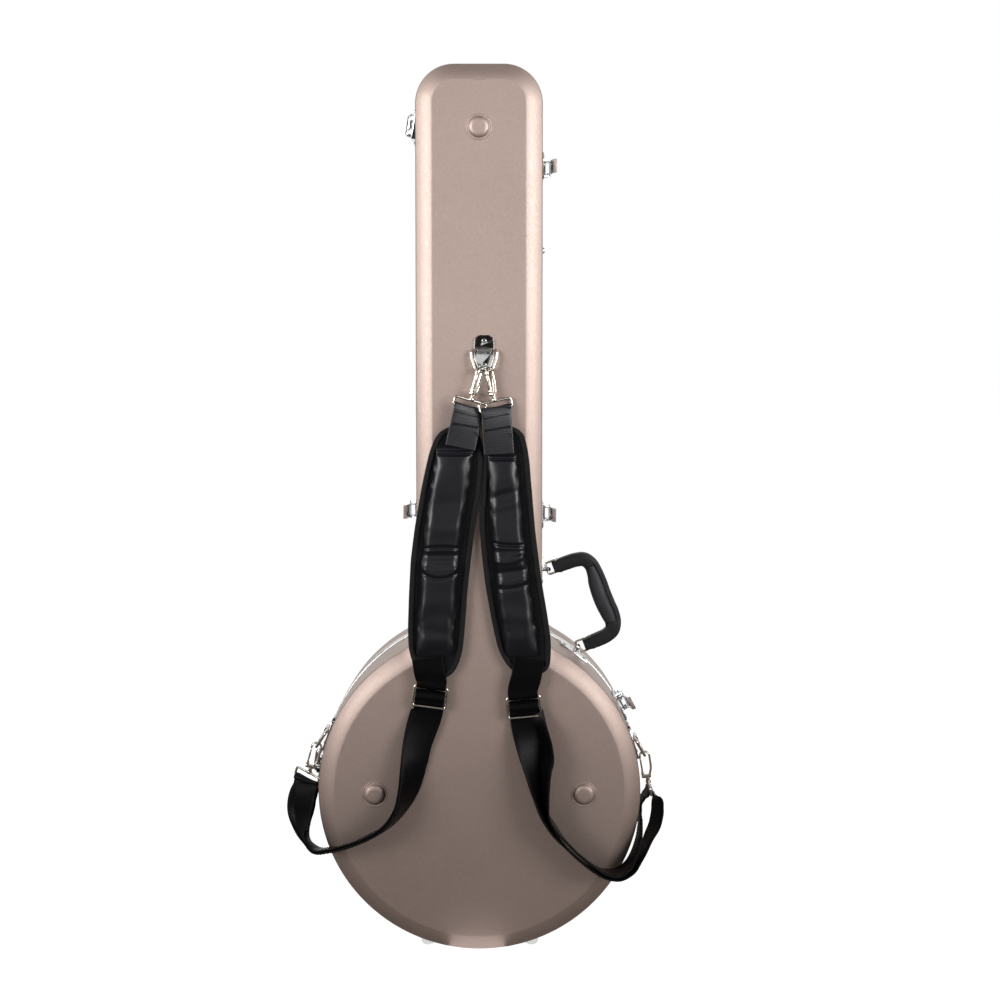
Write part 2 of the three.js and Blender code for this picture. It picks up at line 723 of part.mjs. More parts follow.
// A bracket in its wall frame: a riveted plate with a barrel across which the ring lies
function bracketSolid(frame) {
  const half = bracketLength / 2;
  const base = seated(block(-half, half, -bracketHalf, bracketHalf, -wallBite, bracketSheet), frame);
  const barrel = bar([-barrelHalf, 0, handleStand], [barrelHalf, 0, handleStand], barrelOuter, 16);
  const foot = block(-barrelHalf, barrelHalf, -barrelOuter, barrelOuter, bracketSheet / 2, handleStand);
  const bore = bar([-bracketLength, 0, handleStand], [bracketLength, 0, handleStand], barrelInner, 16);
  const heads = [-1, 1].map((side) => rivetSolid(side * (half - bracketRivetInset), 0, bracketSheet));
  return joined(barrel.add(foot).subtract(bore), base, ...heads);
}

const upperBracket = wallFrame(neckHalf, handleTopZ, quarter, handleDepth);
place('handle_bracket_upper', geometryOf(bracketSolid(upperBracket)), chrome(), upperBracket);
const lowerBracket = wallFrame(
  bodyRadius * Math.cos(handleLowAngle),
  bodyCentreZ + bodyRadius * Math.sin(handleLowAngle),
  quarter - handleLowAngle,
  handleDepth,
);
place('handle_bracket_lower', geometryOf(bracketSolid(lowerBracket)), chrome(), lowerBracket);

// Strap fittings: a plate riveted to the case, with a ring in the barrel across its middle
const fittingHalf = 12;
const fittingLength = 44;
const fittingSheet = 2;
const barOff = 4.2;
const ringBarRadius = 1.7;
const ringHalfWidth = 15.6;
const ringDrop = 25;
const barrelLift = 2.5;
const barrelWidthShare = 0.7;
const barrelTrim = 0.4;
const fittingRivetShare = 0.33;
const plateShares = [[-1, -1], [1, -1], [1, 0.64], [0.85, 0.85], [0.45, 0.98],
  [-0.45, 0.98], [-0.85, 0.85], [-1, 0.64]];
const ringShares = [[-0.83, 0], [0.83, 0], [1, -0.07], [1, -0.2], [0.83, -0.6], [0.62, -0.92], [0.42, -1],
  [-0.42, -1], [-0.62, -0.92], [-0.83, -0.6], [-1, -0.2], [-1, -0.07]];

// Plate and ring in a frame whose Y runs up the case and whose Z points out of it
function strapFitting(name, frame, trim, swing) {
  const shape = plateShares.map(([x, y]) => [x * fittingHalf, (y * fittingLength) / 2]);
  let body = trim(plate(shape, fittingSheet + wallBite, at(0, 0, -wallBite)));
  const half = fittingHalf * barrelWidthShare;
  body = body.add(bar([-half, barrelLift, barOff], [half, barrelLift, barOff], barOff - barrelTrim, 12));
  for (const end of [-1, 1]) {
    body = body.add(rivetSolid(0, end * fittingLength * fittingRivetShare, fittingSheet));
  }
  const bore = [[-fittingLength, barrelLift, barOff], [fittingLength, barrelLift, barOff]];
  body = body.subtract(bar(...bore, ringBarRadius + slideGap, 12));
  place(`${name}_plate`, geometryOf(body), chrome(), frame);
  const loop = ringShares.map(([x, y]) => [x * ringHalfWidth, y * ringDrop, 0]);
  const wireRing = bentWire(loop, [0, 0, 1], ringBarRadius, true, 8);
  const ring = place(`${name}_ring`, geometryOf(wireRing), nickel(), frame);
  ring.position.set(0, barrelLift, barOff);
  ring.rotation.x = -swing;
  frame.updateMatrixWorld();
  return new THREE.Vector3(0, -ringDrop, 0).applyMatrix4(ring.matrixWorld);
}

const fittingX = 6.2;
const fittingZ = alongNeck(0.609111);
const neckRingSwing = 0.2;
const sideRingSwing = 0.22;
const sideFittingShare = 0.6186;
const sideFittingY = -sideFittingShare * backDepth;
const rightFittingAngle = 0.291;
const leftFittingAngle = 0.345;

const neckFrame = new THREE.Group();
neckFrame.position.set(fittingX, -backDepth, fittingZ);
neckFrame.rotation.x = quarter;
parts.add(neckFrame);
const inside = -wallBite - overrun;
const insideFace = block(-fittingLength, fittingLength, -fittingLength, fittingLength, inside, gap);
const faceTrim = (solid) => solid.subtract(insideFace);
const neckRingLow = strapFitting('strap_fitting_neck', neckFrame, faceTrim, neckRingSwing);

function sideFitting(name, side, angle) {
  const x = side * bodyRadius * Math.cos(angle);
  const z = bodyCentreZ + bodyRadius * Math.sin(angle);
  const wall = wallFrame(x, z, side * (quarter - angle), sideFittingY);
  const frame = new THREE.Group();
  frame.rotation.z = side * quarter;
  wall.add(frame);
  wall.updateMatrixWorld(true);
  const trim = (solid) => cutFrom(solid, solidOf(geometryOf(envelope), frame.matrixWorld.clone().invert()));
  return strapFitting(name, frame, trim, sideRingSwing);
}
const rightRingLow = sideFitting('strap_fitting_right', 1, rightFittingAngle);
const leftRingLow = sideFitting('strap_fitting_left', -1, leftFittingAngle);

// Snap hooks: a bent wire frame over the ring, a sprung gate, and a swivel that carries the webbing loop
const hookWire = 1.4;
const hookHalf = 6;
const hookDrop = 25.5;
const loopHalf = 20.5;
const loopTop = 36.5;
const loopBottom = 47;
const loopWire = 1.5;
const gateWire = 1.2;
const gateFoot = 2;
const gateX = -5.4;
const gateY = -24.4;
const gateTipDrop = 4.6;
const gateLean = 0.4;
const hookTipDrop = 1;
const shankShares = [[1, -0.627], [0.767, -0.863], [0.533, -1.039]];
const blockLeft = 7.4;
const blockRight = 4.8;
const blockHeight = 4.5;
const blockHalf = 3;
const swivelRadius = 3.2;
const swivelSink = 1;
const loopCorner = 3;

function hookSolid(swivel) {
  const lift = ringBarRadius + gap + hookWire;
  const over = arc(0, lift - hookHalf, hookHalf, 2 * quarter, 0, 8).map(([x, y]) => [x, y, 0]);
  const shank = shankShares.map(([x, y]) => [x * hookHalf, y * hookDrop, 0]);
  const run = [[-hookHalf, lift - hookHalf - hookTipDrop, 0], ...over, ...shank];
  let hook = bentWire(run, [0, 0, 1], hookWire, false, 6);
  hook = hook.add(block(-blockLeft, blockRight, -hookDrop - blockHeight, -hookDrop, -blockHalf, blockHalf));
  const swivelFoot = -hookDrop - blockHeight + swivelSink;
  hook = hook.add(bar([0, swivelFoot, 0], [0, swivelSink - loopTop, 0], swivelRadius, 12));
  hook = hook.subtract(bar([gateX, gateY, -overrun], [gateX, gateY, overrun], gateFoot + gap, 12));
  const loop = roundLoop(loopHalf, -loopBottom, -loopTop, loopCorner, 2).map(([z, y]) => [0, y, z]);
  const ring = bentWire(loop, [1, 0, 0], loopWire, true, 6);
  return hook.add(solidOf(geometryOf(ring), turned(Y, swivel)));
}

function gateSolid() {
  const rise = -gateY - gateTipDrop;
  const wireRun = bar([0, 0, 0], [-gateLean, rise, 0], gateWire, 8);
  return wireRun.add(bar([0, 0, -blockHalf], [0, 0, blockHalf], gateFoot, 12));
}

// Hangs a hook at a point: lean is its tilt to the right, twist turns it about its own length
const hookFrames = {};
function hangHook(name, point, lean, twist, swivel) {
  const frame = new THREE.Group();
  frame.position.copy(point);
  frame.rotation.set(quarter, twist, lean, 'XZY');
  parts.add(frame);
  place(`hook_${name}`, geometryOf(hookSolid(swivel)), nickel(), frame);
  place(`hook_${name}_gate`, geometryOf(gateSolid()), nickel(), frame).position.set(gateX, gateY, 0);
  frame.updateMatrixWorld();
  const low = new THREE.Vector3(0, -loopBottom, 0).applyMatrix4(frame.matrixWorld);
  const along = new THREE.Vector3(Math.sin(swivel), 0, Math.cos(swivel)).transformDirection(frame.matrixWorld);
  hookFrames[name] = { frame, low, along };
}

const hookSpread = 5.3;
const hookTwist = 1.05;
const loopLap = 0.26;
const besideRing = (dx) => neckRingLow.clone().add(new THREE.Vector3(dx, 0, 0));
hangHook('top_left', besideRing(-hookSpread), -0.28, hookTwist, quarter - hookTwist + loopLap);
hangHook('top_right', besideRing(hookSpread), 0.2, hookTwist, quarter - hookTwist + loopLap);
hangHook('side_left', leftRingLow, -0.28, 0, 0.5);
hangHook('side_right', rightRingLow, 0.15, 0, 0);

// Webbing: two layers sewn together, laid as a flat strip whose width turns from across to edge on
const webbingHalf = 18;
const webbingThickness = 3;
const eyeOuter = 3.4;
const eyeInner = 1.9;

// Each station is a point and how far the width has turned from the case's face towards the depth, in degrees
function stripSolid(stations, half = webbingHalf) {
  const rings = stations.map(([x, y, z, turn], k) => {
    const before = stations[Math.max(k - 1, 0)];
    const after = stations[Math.min(k + 1, stations.length - 1)];
    const run = new THREE.Vector3(after[0] - before[0], after[1] - before[1], after[2] - before[2]).normalize();
    const flat = run.clone().cross(Y).normalize();
    const angle = THREE.MathUtils.degToRad(turn);
    const across = flat.multiplyScalar(Math.cos(angle)).addScaledVector(Y, Math.sin(angle));
    across.addScaledVector(run, -across.dot(run)).normalize();
    const out = run.clone().cross(across).normalize();
    return [[-1, -1], [1, -1], [1, 1], [-1, 1]].map(([w, t]) => new THREE.Vector3(x, y, z)
      .addScaledVector(across, w * half)
      .addScaledVector(out, (t * webbingThickness) / 2));
  });
  return solidOf(skin(rings, false, null, [2, 3]));
}

// The sewn eye of a strip round a bar
function eyeEnds(centre, along, half) {
  const from = centre.clone().addScaledVector(along, -half);
  const to = centre.clone().addScaledVector(along, half);
  return [from.toArray(), to.toArray()];
}

function withEye(strip, centre, along, half = webbingHalf) {
  const [from, to] = eyeEnds(centre, along, half);
  const [cutFromPoint, cutToPoint] = eyeEnds(centre, along, half + overrun);
  return strip.add(bar(from, to, eyeOuter, 12)).subtract(bar(cutFromPoint, cutToPoint, eyeInner, 12));
}

// Sliders: a wire frame with a middle bar, lying against the back
const sliderHalf = 20.3;
const sliderRise = 12.5;
const sliderWire = 1.5;
const sliderCorner = 3;
const strapStand = 9;
const strapY = -(backDepth + strapStand);
function sliderSpot(across, up) {
  return new THREE.Vector3(across * bodyRadius, strapY, bodyCentreZ + up * bodyRadius);
}

const sliders = {
  left: { centre: sliderSpot(-0.3005, 0.6201), lean: -0.13 },
  right: { centre: sliderSpot(0.2744, 0.5578), lean: 0.09 },
};

for (const [side, { centre, lean }] of Object.entries(sliders)) {
  const frame = new THREE.Group();
  frame.position.copy(centre);
  frame.rotation.set(quarter, 0, lean, 'XZY');
  parts.add(frame);
  const loop = roundLoop(sliderHalf, -sliderRise, sliderRise, sliderCorner, 2).map(([x, y]) => [x, y, 0]);
  const middleBar = bar([-sliderHalf, 0, 0], [sliderHalf, 0, 0], sliderWire, 8);
  const wireFrame = bentWire(loop, [0, 0, 1], sliderWire, true, 6).add(middleBar);
  place(`slider_${side}`, geometryOf(wireFrame), nickel(), frame);
  frame.updateMatrixWorld();
  const spot = (y) => new THREE.Vector3(0, y, 0).applyMatrix4(frame.matrixWorld);
  const slider = sliders[side];
  slider.top = spot(sliderRise);
  slider.low = spot(-sliderRise);
  slider.past = spot(-sliderRise - strapStand);
  slider.along = new THREE.Vector3(Math.cos(lean), 0, Math.sin(lean));
}

// Shoulder pads: stations down the pad as shares, with the middle's sway and the half width likewise
const padHalf = 35;
const padThickness = 20;
const padLift = 1;
const padSinkShare = 1 / 3;
const strapEntry = 4;
const padEntryRing = 3;
const padTailRing = 14;
const padBack = backDepth + padLift;
const padDrop = { left: 88.5, right: 86.5 };
const padTail = { left: 11.2, right: 25.5 };
const padTopZ = { left: fittingZ - padDrop.left, right: fittingZ - padDrop.right };
const padLength = {
  left: padTopZ.left - sliders.left.top.z - padTail.left,
  right: padTopZ.right - sliders.right.top.z - padTail.right,
};
const padSways = {
  left: [[0, -0.66, 0.45], [0.02, -0.68, 0.6], [0.055, -0.78, 0.74], [0.085, -0.88, 0.77],
    [0.11, -0.92, 0.8], [0.19, -1.02, 0.9],
    [0.28, -1.1, 0.96], [0.38, -1.19, 1], [0.46, -1.27, 1.02], [0.54, -1.34, 1.02], [0.64, -1.42, 1],
    [0.74, -1.46, 0.99], [0.84, -1.49, 0.97], [0.91, -1.5, 0.86], [0.96, -1.52, 0.66], [0.985, -1.54, 0.5],
    [1, -1.55, 0.4]],
  right: [[0, 0.74, 0.45], [0.02, 0.76, 0.6], [0.055, 0.86, 0.7], [0.085, 0.92, 0.74],
    [0.11, 0.95, 0.76], [0.19, 1, 0.78],
    [0.28, 1.04, 0.8], [0.38, 1.08, 0.84], [0.46, 1.11, 0.9], [0.54, 1.16, 0.96], [0.64, 1.26, 0.98],
    [0.74, 1.38, 0.98], [0.84, 1.5, 0.96], [0.91, 1.64, 0.84], [0.96, 1.72, 0.64], [0.985, 1.75, 0.5],
    [1, 1.76, 0.4]],
};
const padCrownShares = [0.4, 0.62, 0.92, 0.72, 0.95, 1, 1, 0.97, 0.93, 0.98, 1, 1, 1, 0.92, 0.7, 0.5, 0.4];
const padSection = [[1, 0.5], [0.97, 0.3], [0.85, 0.1], [0.5, 0], [-0.5, 0], [-0.85, 0.1], [-0.97, 0.3], [-1, 0.5],
  [-0.94, 0.72], [-0.7, 0.9], [-0.25, 1], [0.25, 1], [0.7, 0.9], [0.94, 0.72]];

function padSolid(side) {
  const rings = padSways[side].map(([along, sway, half], k) => {
    const z = padTopZ[side] - along * padLength[side];
    const thick = padThickness * padCrownShares[k];
    return padSection.map(([w, t]) => new THREE.Vector3(
      padHalf * (sway + w * half),
      -padBack - (padThickness - thick) * padSinkShare - t * thick,
      z,
    ));
  });
  return solidOf(skin(rings, false));
}

const topStrapTurns = { left: 'top_left', right: 'top_right' };
for (const side of ['left', 'right']) {
  const { low, along } = hookFrames[topStrapTurns[side]];
  const sways = padSways[side];
  const ringZ = (ring) => padTopZ[side] - padLength[side] * sways[ring][0];
  const onPad = (ring) => [padHalf * sways[ring][1], strapY, ringZ(ring), 0];
  const lap = -THREE.MathUtils.radToDeg(loopLap);
  const entry = [padHalf * sways[0][1], strapY, padTopZ[side] + strapEntry, 0];
  const topRun = stripSolid([[low.x, low.y, low.z - eyeInner, lap], entry, onPad(padEntryRing)]);
  const topStrap = withEye(topRun, low, along);
  const slider = sliders[side];
  const tail = onPad(padTailRing);
  const tabStart = [slider.top.x, slider.top.y, slider.top.z + eyeInner, 0];
  const tab = withEye(stripSolid([tail, tabStart]), slider.top, slider.along);
  place(`shoulder_pad_${side}`, geometryOf(joined(padSolid(side), topStrap, tab)), padFabric());
}

// A station of a lower strap from shares of the body's radius across and up, and of the back's depth
function onBody([across, depth, up, turn]) {
  return [across * bodyRadius, -depth * backDepth, bodyCentreZ + up * bodyRadius, turn];
}

// The lower straps run from the slider round to the side hook; the right one opens into two strands there
const behindBar = sliderWire + gap + webbingThickness / 2;
const barDrop = 1;
const strandHalf = 1.5;
const strandDrop = 1;
const leftEndOut = 4.2;
const leftEndBack = 12;
const leftEndDrop = 28.8;
const leftEndTurns = [62, 61];
const leftRoute = [
  [-0.3769, 1.1031, 0.3266, 20], [-0.397, 1.134, 0.196, 36], [-0.4271, 1.1649, 0.0452, 52],
  [-0.4724, 1.1959, -0.0653, 68], [-0.5628, 1.2165, -0.1759, 82], [-0.6834, 1.2165, -0.2462, 82],
  [-0.7889, 1.2165, -0.2915, 76], [-0.8945, 1.1753, -0.3367, 80], [-0.9849, 1.0928, -0.3518, 85],
  [-1.0603, 0.9794, -0.3116, 76], [-1.1005, 0.8454, -0.2161, 64],
].map(onBody);
const rightRoute = [
  [0.3116, 1.1031, 0.3166, 24], [0.3417, 1.1443, 0.1859, 42], [0.3668, 1.1753, 0.0553, 56],
  [0.392, 1.2062, -0.0653, 68], [0.4422, 1.2165, -0.1859, 80], [0.5126, 1.2165, -0.2764, 86],
  [0.603, 1.2165, -0.3668, 90], [0.6884, 1.2165, -0.4322, 90], [0.7688, 1.2062, -0.4724, 90],
  [0.8442, 1.1649, -0.4824, 90], [0.9196, 1.0928, -0.4573, 90],
].map(onBody);
const outerStrand = [
  [0.9196, 1.0928, -0.4573, 90], [0.9849, 1, -0.397, 90], [1.0553, 0.866, -0.3065, 90],
  [1.1055, 0.7526, -0.2211, 90], [1.1206, 0.6701, -0.1357, 90],
].map(onBody);
const innerStrand = [
  [0.9196, 1.0928, -0.4573, 90], [0.9749, 0.9897, -0.3869, 90], [1.0151, 0.8454, -0.2965, 90],
  [1.0276, 0.732, -0.2161, 90], [1.0402, 0.6598, -0.1307, 90],
].map(onBody);

function lowerStrap(side, route, strands) {
  const slider = sliders[side];
  const hook = hookFrames[`side_${side}`];
  const first = [slider.centre.x, slider.centre.y + eyeInner, slider.centre.z - barDrop, 0];
  const behind = [slider.low, slider.past].map((p) => [p.x, p.y + behindBar, p.z, 0]);
  const stations = [first, ...behind, ...route, ...strands[0].slice(1)];
  let strap = withEye(stripSolid(stations), slider.centre, slider.along);
  for (const strand of strands.slice(1)) strap = strap.add(stripSolid(strand));
  return withEye(strap, hook.low, hook.along);
}

const leftHookEnd = hookFrames.side_left.low;
const rightHookEnd = hookFrames.side_right.low;
const leftEnds = [[
  leftRoute[leftRoute.length - 1],
  [leftHookEnd.x - leftEndOut, leftHookEnd.y - leftEndBack, leftHookEnd.z - leftEndDrop, leftEndTurns[0]],
  [leftHookEnd.x, leftHookEnd.y, leftHookEnd.z - eyeInner, leftEndTurns[1]],
]];
const atRightHook = (shift) => [rightHookEnd.x + shift, rightHookEnd.y, rightHookEnd.z - strandDrop, 90];
const rightEnds = [[...outerStrand, atRightHook(strandHalf)], [...innerStrand, atRightHook(-strandHalf)]];
place('lower_strap_left', geometryOf(lowerStrap('left', leftRoute, leftEnds)), webbing());
place('lower_strap_right', geometryOf(lowerStrap('right', rightRoute, rightEnds)), webbing());

// Four feet at the tail, so that the case stands upright
const footOffset = 65;
const footDepths = { back: -66, lid: 45 };
const footRadius = 8.7;
const footRise = 24;
const footDome = 6.2;
const footShares = [[0, 0], [0.55, 0], [0.82, 0.226], [0.95, 0.58], [1, 1]];
for (const [which, depth] of Object.entries(footDepths)) {
  for (const [side, sign] of [['left', -1], ['right', 1]]) {
    const dome = footShares.map(([out, up]) => [out * footRadius, up * footDome]);
    const profile = [...dome, [footRadius, footRise], [0, footRise]];
    const foot = turnedPiece(profile, 16, at(sign * footOffset, depth, 0)).subtract(envelope);
    place(`tail_foot_${which}_${side}`, geometryOf(foot), chrome());
  }
}

// A small eyelet plate on the right of the neck
const eyeletZ = alongNeck(0.752531);
const eyeletDepth = -30;
const eyeletHalf = 16;
const eyeletHalfDepth = 7;
const eyeletSheet = 1.6;
const eyeletArch = 3.4;
const eyeletArchRise = 1;
const eyeletWire = 1.1;
const eyeletFrame = wallFrame(neckHalf, eyeletZ, quarter, eyeletDepth);
const eyeletSpan = block(-eyeletHalf, eyeletHalf, -eyeletHalfDepth, eyeletHalfDepth, -wallBite, eyeletSheet);
const eyeletPlate = seated(eyeletSpan, eyeletFrame);
const archPoints = arc(0, eyeletArchRise, eyeletArch, 0, Math.PI, 6).map(([x, z]) => [x, 0, z]);
const eyeletLoop = bentWire(archPoints, [0, 1, 0], eyeletWire, false, 6);
place('side_eyelet', geometryOf(eyeletPlate.add(eyeletLoop)), chrome(), eyeletFrame);

// Stand the case with its footprint's middle at the origin
const group = new THREE.Group();
group.add(parts);
parts.updateMatrixWorld(true);
const extent = new THREE.Box3().setFromObject(parts, true);
const middle = extent.getCenter(new THREE.Vector3());
parts.position.set(-middle.x, -middle.y, -extent.min.z);

export default group;
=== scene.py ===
# A moulded banjo case that stands on its tail, seen from the back that is worn against the player.
# It is put together here as it is in the workshop: shells, rims, linings, hinges, latches, handle, straps.
import json
import math

import bmesh
import bpy
import numpy as np
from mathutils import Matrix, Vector
from mathutils.kdtree import KDTree


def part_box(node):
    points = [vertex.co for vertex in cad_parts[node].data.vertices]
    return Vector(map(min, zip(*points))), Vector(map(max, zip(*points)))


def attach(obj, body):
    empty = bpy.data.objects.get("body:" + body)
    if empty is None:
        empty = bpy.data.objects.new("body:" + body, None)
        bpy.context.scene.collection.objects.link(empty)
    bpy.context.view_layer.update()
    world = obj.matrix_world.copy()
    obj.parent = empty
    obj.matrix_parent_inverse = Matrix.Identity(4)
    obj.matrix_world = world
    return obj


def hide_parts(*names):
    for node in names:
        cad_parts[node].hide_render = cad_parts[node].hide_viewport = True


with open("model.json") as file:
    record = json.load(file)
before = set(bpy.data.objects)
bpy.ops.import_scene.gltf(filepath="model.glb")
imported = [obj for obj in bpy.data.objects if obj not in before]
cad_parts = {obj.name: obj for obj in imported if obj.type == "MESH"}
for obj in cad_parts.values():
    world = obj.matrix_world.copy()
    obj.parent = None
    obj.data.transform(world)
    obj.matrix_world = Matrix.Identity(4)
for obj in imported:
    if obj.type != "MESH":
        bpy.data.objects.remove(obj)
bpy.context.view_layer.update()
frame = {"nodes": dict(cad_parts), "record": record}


# Back shell and lid shell
# Two vacuum-formed ABS halves, 3.5 mm thick, with a rolled edge round a flat face.
# The sheet has a warm champagne pearl in it and the fine orange peel of a forming mould.
SHELL_LENGTH, SHELL_FOOT = 1088.0, 2.0
BODY_RADIUS, NECK_HALF, CORNER_RADIUS, WAIST_RADIUS = 199.0, 77.0, 47.0, 40.0
BACK_DEPTH, LID_DEPTH, SHELL_WALL = 97.0, 68.0, 3.5
ROLL_WIDTH, ROLL_DEPTH, ROLL_START = 20.7, 11.0, 0.45
CREASE, EDGE_ROUND, EDGE_BELOW, CUT_EDGE = 0.7, 0.35, (0.5, 1.6), 1.9
BODY_Z = SHELL_FOOT + BODY_RADIUS
NECK_TOP = SHELL_FOOT + SHELL_LENGTH

back_box, lid_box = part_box("back_shell"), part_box("lid_shell")
case_origin = np.array([(back_box[0].x + back_box[1].x) / 2, lid_box[1].y - LID_DEPTH / 1000, 0.0])


def row(points):
    """Case millimetres, whose origin is under the middle of the parting plane, as metres of the frame."""
    return np.asarray(points, float) / 1000 + case_origin


def case_outline(inset):
    """Right half of the outline in X and Z, from the tail to the top, moved inwards by inset: the body's
    circle, the hollow arc of the waist, the straight neck, a corner's arc and half the top."""
    waist_x = NECK_HALF + WAIST_RADIUS
    waist_z = BODY_Z + math.sqrt((BODY_RADIUS + WAIST_RADIUS) ** 2 - waist_x**2)
    lean = math.atan2(waist_z - BODY_Z, waist_x)
    turn = np.linspace(-math.pi / 2, lean, 73)
    body = np.stack([np.cos(turn), np.sin(turn)], 1) * (BODY_RADIUS - inset) + [0, BODY_Z]
    turn = np.linspace(lean + math.pi, math.pi, 17)
    waist = np.stack([np.cos(turn), np.sin(turn)], 1) * (WAIST_RADIUS + inset) + [waist_x, waist_z]
    corner_z = NECK_TOP - CORNER_RADIUS
    rise = np.linspace(0, 1, 41)[:, None]
    neck = waist[-1] * (1 - rise) + np.array([NECK_HALF - inset, corner_z]) * rise
    turn = np.linspace(0, math.pi / 2, 21)
    corner = np.stack([np.cos(turn), np.sin(turn)], 1) * (CORNER_RADIUS - inset)
    corner += [NECK_HALF - CORNER_RADIUS, corner_z]
    top = corner[-1] * (1 - rise[::10]) + np.array([0, NECK_TOP - inset]) * rise[::10]
    return np.concatenate([body[:-1], waist[:-1], neck[:-1], corner[:-1], top])


def ring_of(half):
    """The half outline and its mirror image, closed at the tail."""
    left = half[::-1] * [-1, 1]
    return np.concatenate([half, left[1:]])


def swept_rim(profile):
    """A surface whose rows are the outline at each inset of the profile, at that point's depth."""
    rings = [ring_of(case_outline(inset)) for inset, _ in profile]
    depth = np.array([y for _, y in profile])
    flat = np.stack(rings)
    return np.stack([flat[..., 0], np.broadcast_to(depth[:, None], flat.shape[:2]), flat[..., 1]], -1)


def flat_face(inset, depth, columns=9):
    """The flat inside the outline: each row runs straight across from the left edge to the right."""
    half = case_outline(inset)
    across = np.linspace(-1, 1, columns)
    x = half[:, :1] * across
    return np.stack([x, np.full_like(x, depth), np.broadcast_to(half[:, 1:], x.shape)], -1)


def build(name, grids, material, body, sharp=None):
    """One mesh of grids of points: neighbours in a grid make its faces, and edges that meet are merged."""
    points, faces, start = [], [], 0
    for grid in grids:
        rows, columns = grid.shape[:2]
        index = start + np.arange(rows * columns).reshape(rows, columns)
        around = [index[:-1, :-1], index[:-1, 1:], index[1:, 1:], index[1:, :-1]]
        faces.append(np.stack(around, -1).reshape(-1, 4))
        points.append(row(grid.reshape(-1, 3)))
        start += rows * columns
    mesh = bpy.data.meshes.new(name)
    mesh.from_pydata(np.concatenate(points).tolist(), [], np.concatenate(faces).tolist())
    tidy_mesh(mesh)
    piece = bpy.data.objects.new(name, mesh)
    bpy.context.scene.collection.objects.link(piece)
    mesh.materials.append(material)
    smooth(piece, sharp)
    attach(piece, body)
    return piece


def tidy_mesh(mesh, reach=2e-6):
    """Merges points that meet, drops faces with no area and turns all faces outwards."""
    work = bmesh.new()
    work.from_mesh(mesh)
    bmesh.ops.remove_doubles(work, verts=work.verts, dist=reach)
    bmesh.ops.dissolve_degenerate(work, edges=work.edges, dist=reach)
    bmesh.ops.recalc_face_normals(work, faces=work.faces)
    work.to_mesh(mesh)
    work.free()


def smooth(piece, sharp):
    """Smooth shading, with edges steeper than sharp degrees kept crisp."""
    mesh = piece.data
    mesh.shade_smooth()
    if sharp:
        mesh.set_sharp_from_angle(angle=math.radians(sharp))


def material_of(name, inputs):
    """A node material and its surface shader, with that shader's fixed inputs."""
    made = bpy.data.materials.new(name)
    made.use_nodes = True
    shader = made.node_tree.nodes["Principled BSDF"]
    for key, value in inputs.items():
        shader.inputs[key].default_value = value
    return made, shader


def node(made, kind, inputs=None, **settings):
    """A node with its settings and its fixed inputs."""
    new = made.node_tree.nodes.new(kind)
    for key, value in settings.items():
        setattr(new, key, value)
    for key, value in (inputs or {}).items():
        new.inputs[key].default_value = value
    return new


def link(made, source, goal):
    """Joins an output to an input."""
    made.node_tree.links.new(source, goal)


def on_object(made, *textures):
    """Lets textures read the object's own coordinates."""
    place = node(made, "ShaderNodeTexCoord").outputs["Object"]
    for texture in textures:
        link(made, place, texture.inputs["Vector"])


def tinted(made, shader, tone, fleck):
    """The base colour as a tone times a fleck."""
    mix = node(made, "ShaderNodeMix", {"Factor": 1.0}, data_type="RGBA", blend_type="MULTIPLY")
    link(made, tone, mix.inputs["A"])
    link(made, fleck, mix.inputs["B"])
    link(made, mix.outputs["Result"], shader.inputs["Base Color"])


def roughened(made, shader, factor, span, rough):
    """Roughness that runs between two values while a factor runs over its span."""
    limits = {"From Min": span[0], "From Max": span[1], "To Min": rough[0], "To Max": rough[1]}
    reach = node(made, "ShaderNodeMapRange", limits)
    link(made, factor, reach.inputs["Value"])
    link(made, reach.outputs["Result"], shader.inputs["Roughness"])


def ramp_between(made, factor, stops):
    """A colour ramp over a factor; stops are (place, colour)."""
    ramp = node(made, "ShaderNodeValToRGB")
    band = ramp.color_ramp
    while len(band.elements) < len(stops):
        band.elements.new(0.5)
    for element, (place, colour) in zip(band.elements, stops):
        element.position = place
        element.color = (*colour, 1)
    link(made, factor, ramp.inputs["Fac"])
    return ramp.outputs["Color"]


def bumped(made, shader, height, strength, distance):
    """Height as bump on a shader, on top of the bump that is already there."""
    bump = node(made, "ShaderNodeBump", {"Strength": strength, "Distance": distance})
    link(made, height, bump.inputs["Height"])
    before = shader.inputs["Normal"].links
    if before:
        link(made, before[0].from_socket, bump.inputs["Normal"])
    link(made, bump.outputs["Normal"], shader.inputs["Normal"])


def pearl_shell():
    """Champagne pearl plastic: slow clouds in the tone, orange peel and a scatter of very fine grain."""
    gloss = {"Metallic": 0.72, "Coat Weight": 0.25, "Coat Roughness": 0.36}
    made, shader = material_of("champagne_pearl_shell", gloss)
    cloud = node(made, "ShaderNodeTexNoise", {"Scale": 3.0, "Detail": 3.0})
    peel = node(made, "ShaderNodeTexNoise", {"Scale": 420.0, "Detail": 3.0, "Roughness": 0.6})
    grain = node(made, "ShaderNodeTexNoise", {"Scale": 1900.0, "Detail": 2.0})
    on_object(made, cloud, peel, grain)
    champagne = [(0.35, (0.395, 0.303, 0.266)), (0.65, (0.440, 0.340, 0.301))]
    pearl_grain = [(0.3, (0.84, 0.84, 0.84)), (0.72, (1.12, 1.12, 1.12))]
    tone = ramp_between(made, cloud.outputs["Fac"], champagne)
    tinted(made, shader, tone, ramp_between(made, grain.outputs["Fac"], pearl_grain))
    roughened(made, shader, peel.outputs["Fac"], (0.3, 0.7), (0.50, 0.60))
    bumped(made, shader, peel.outputs["Fac"], 0.35, 0.0004)
    bumped(made, shader, grain.outputs["Fac"], 0.25, 0.0001)
    return made


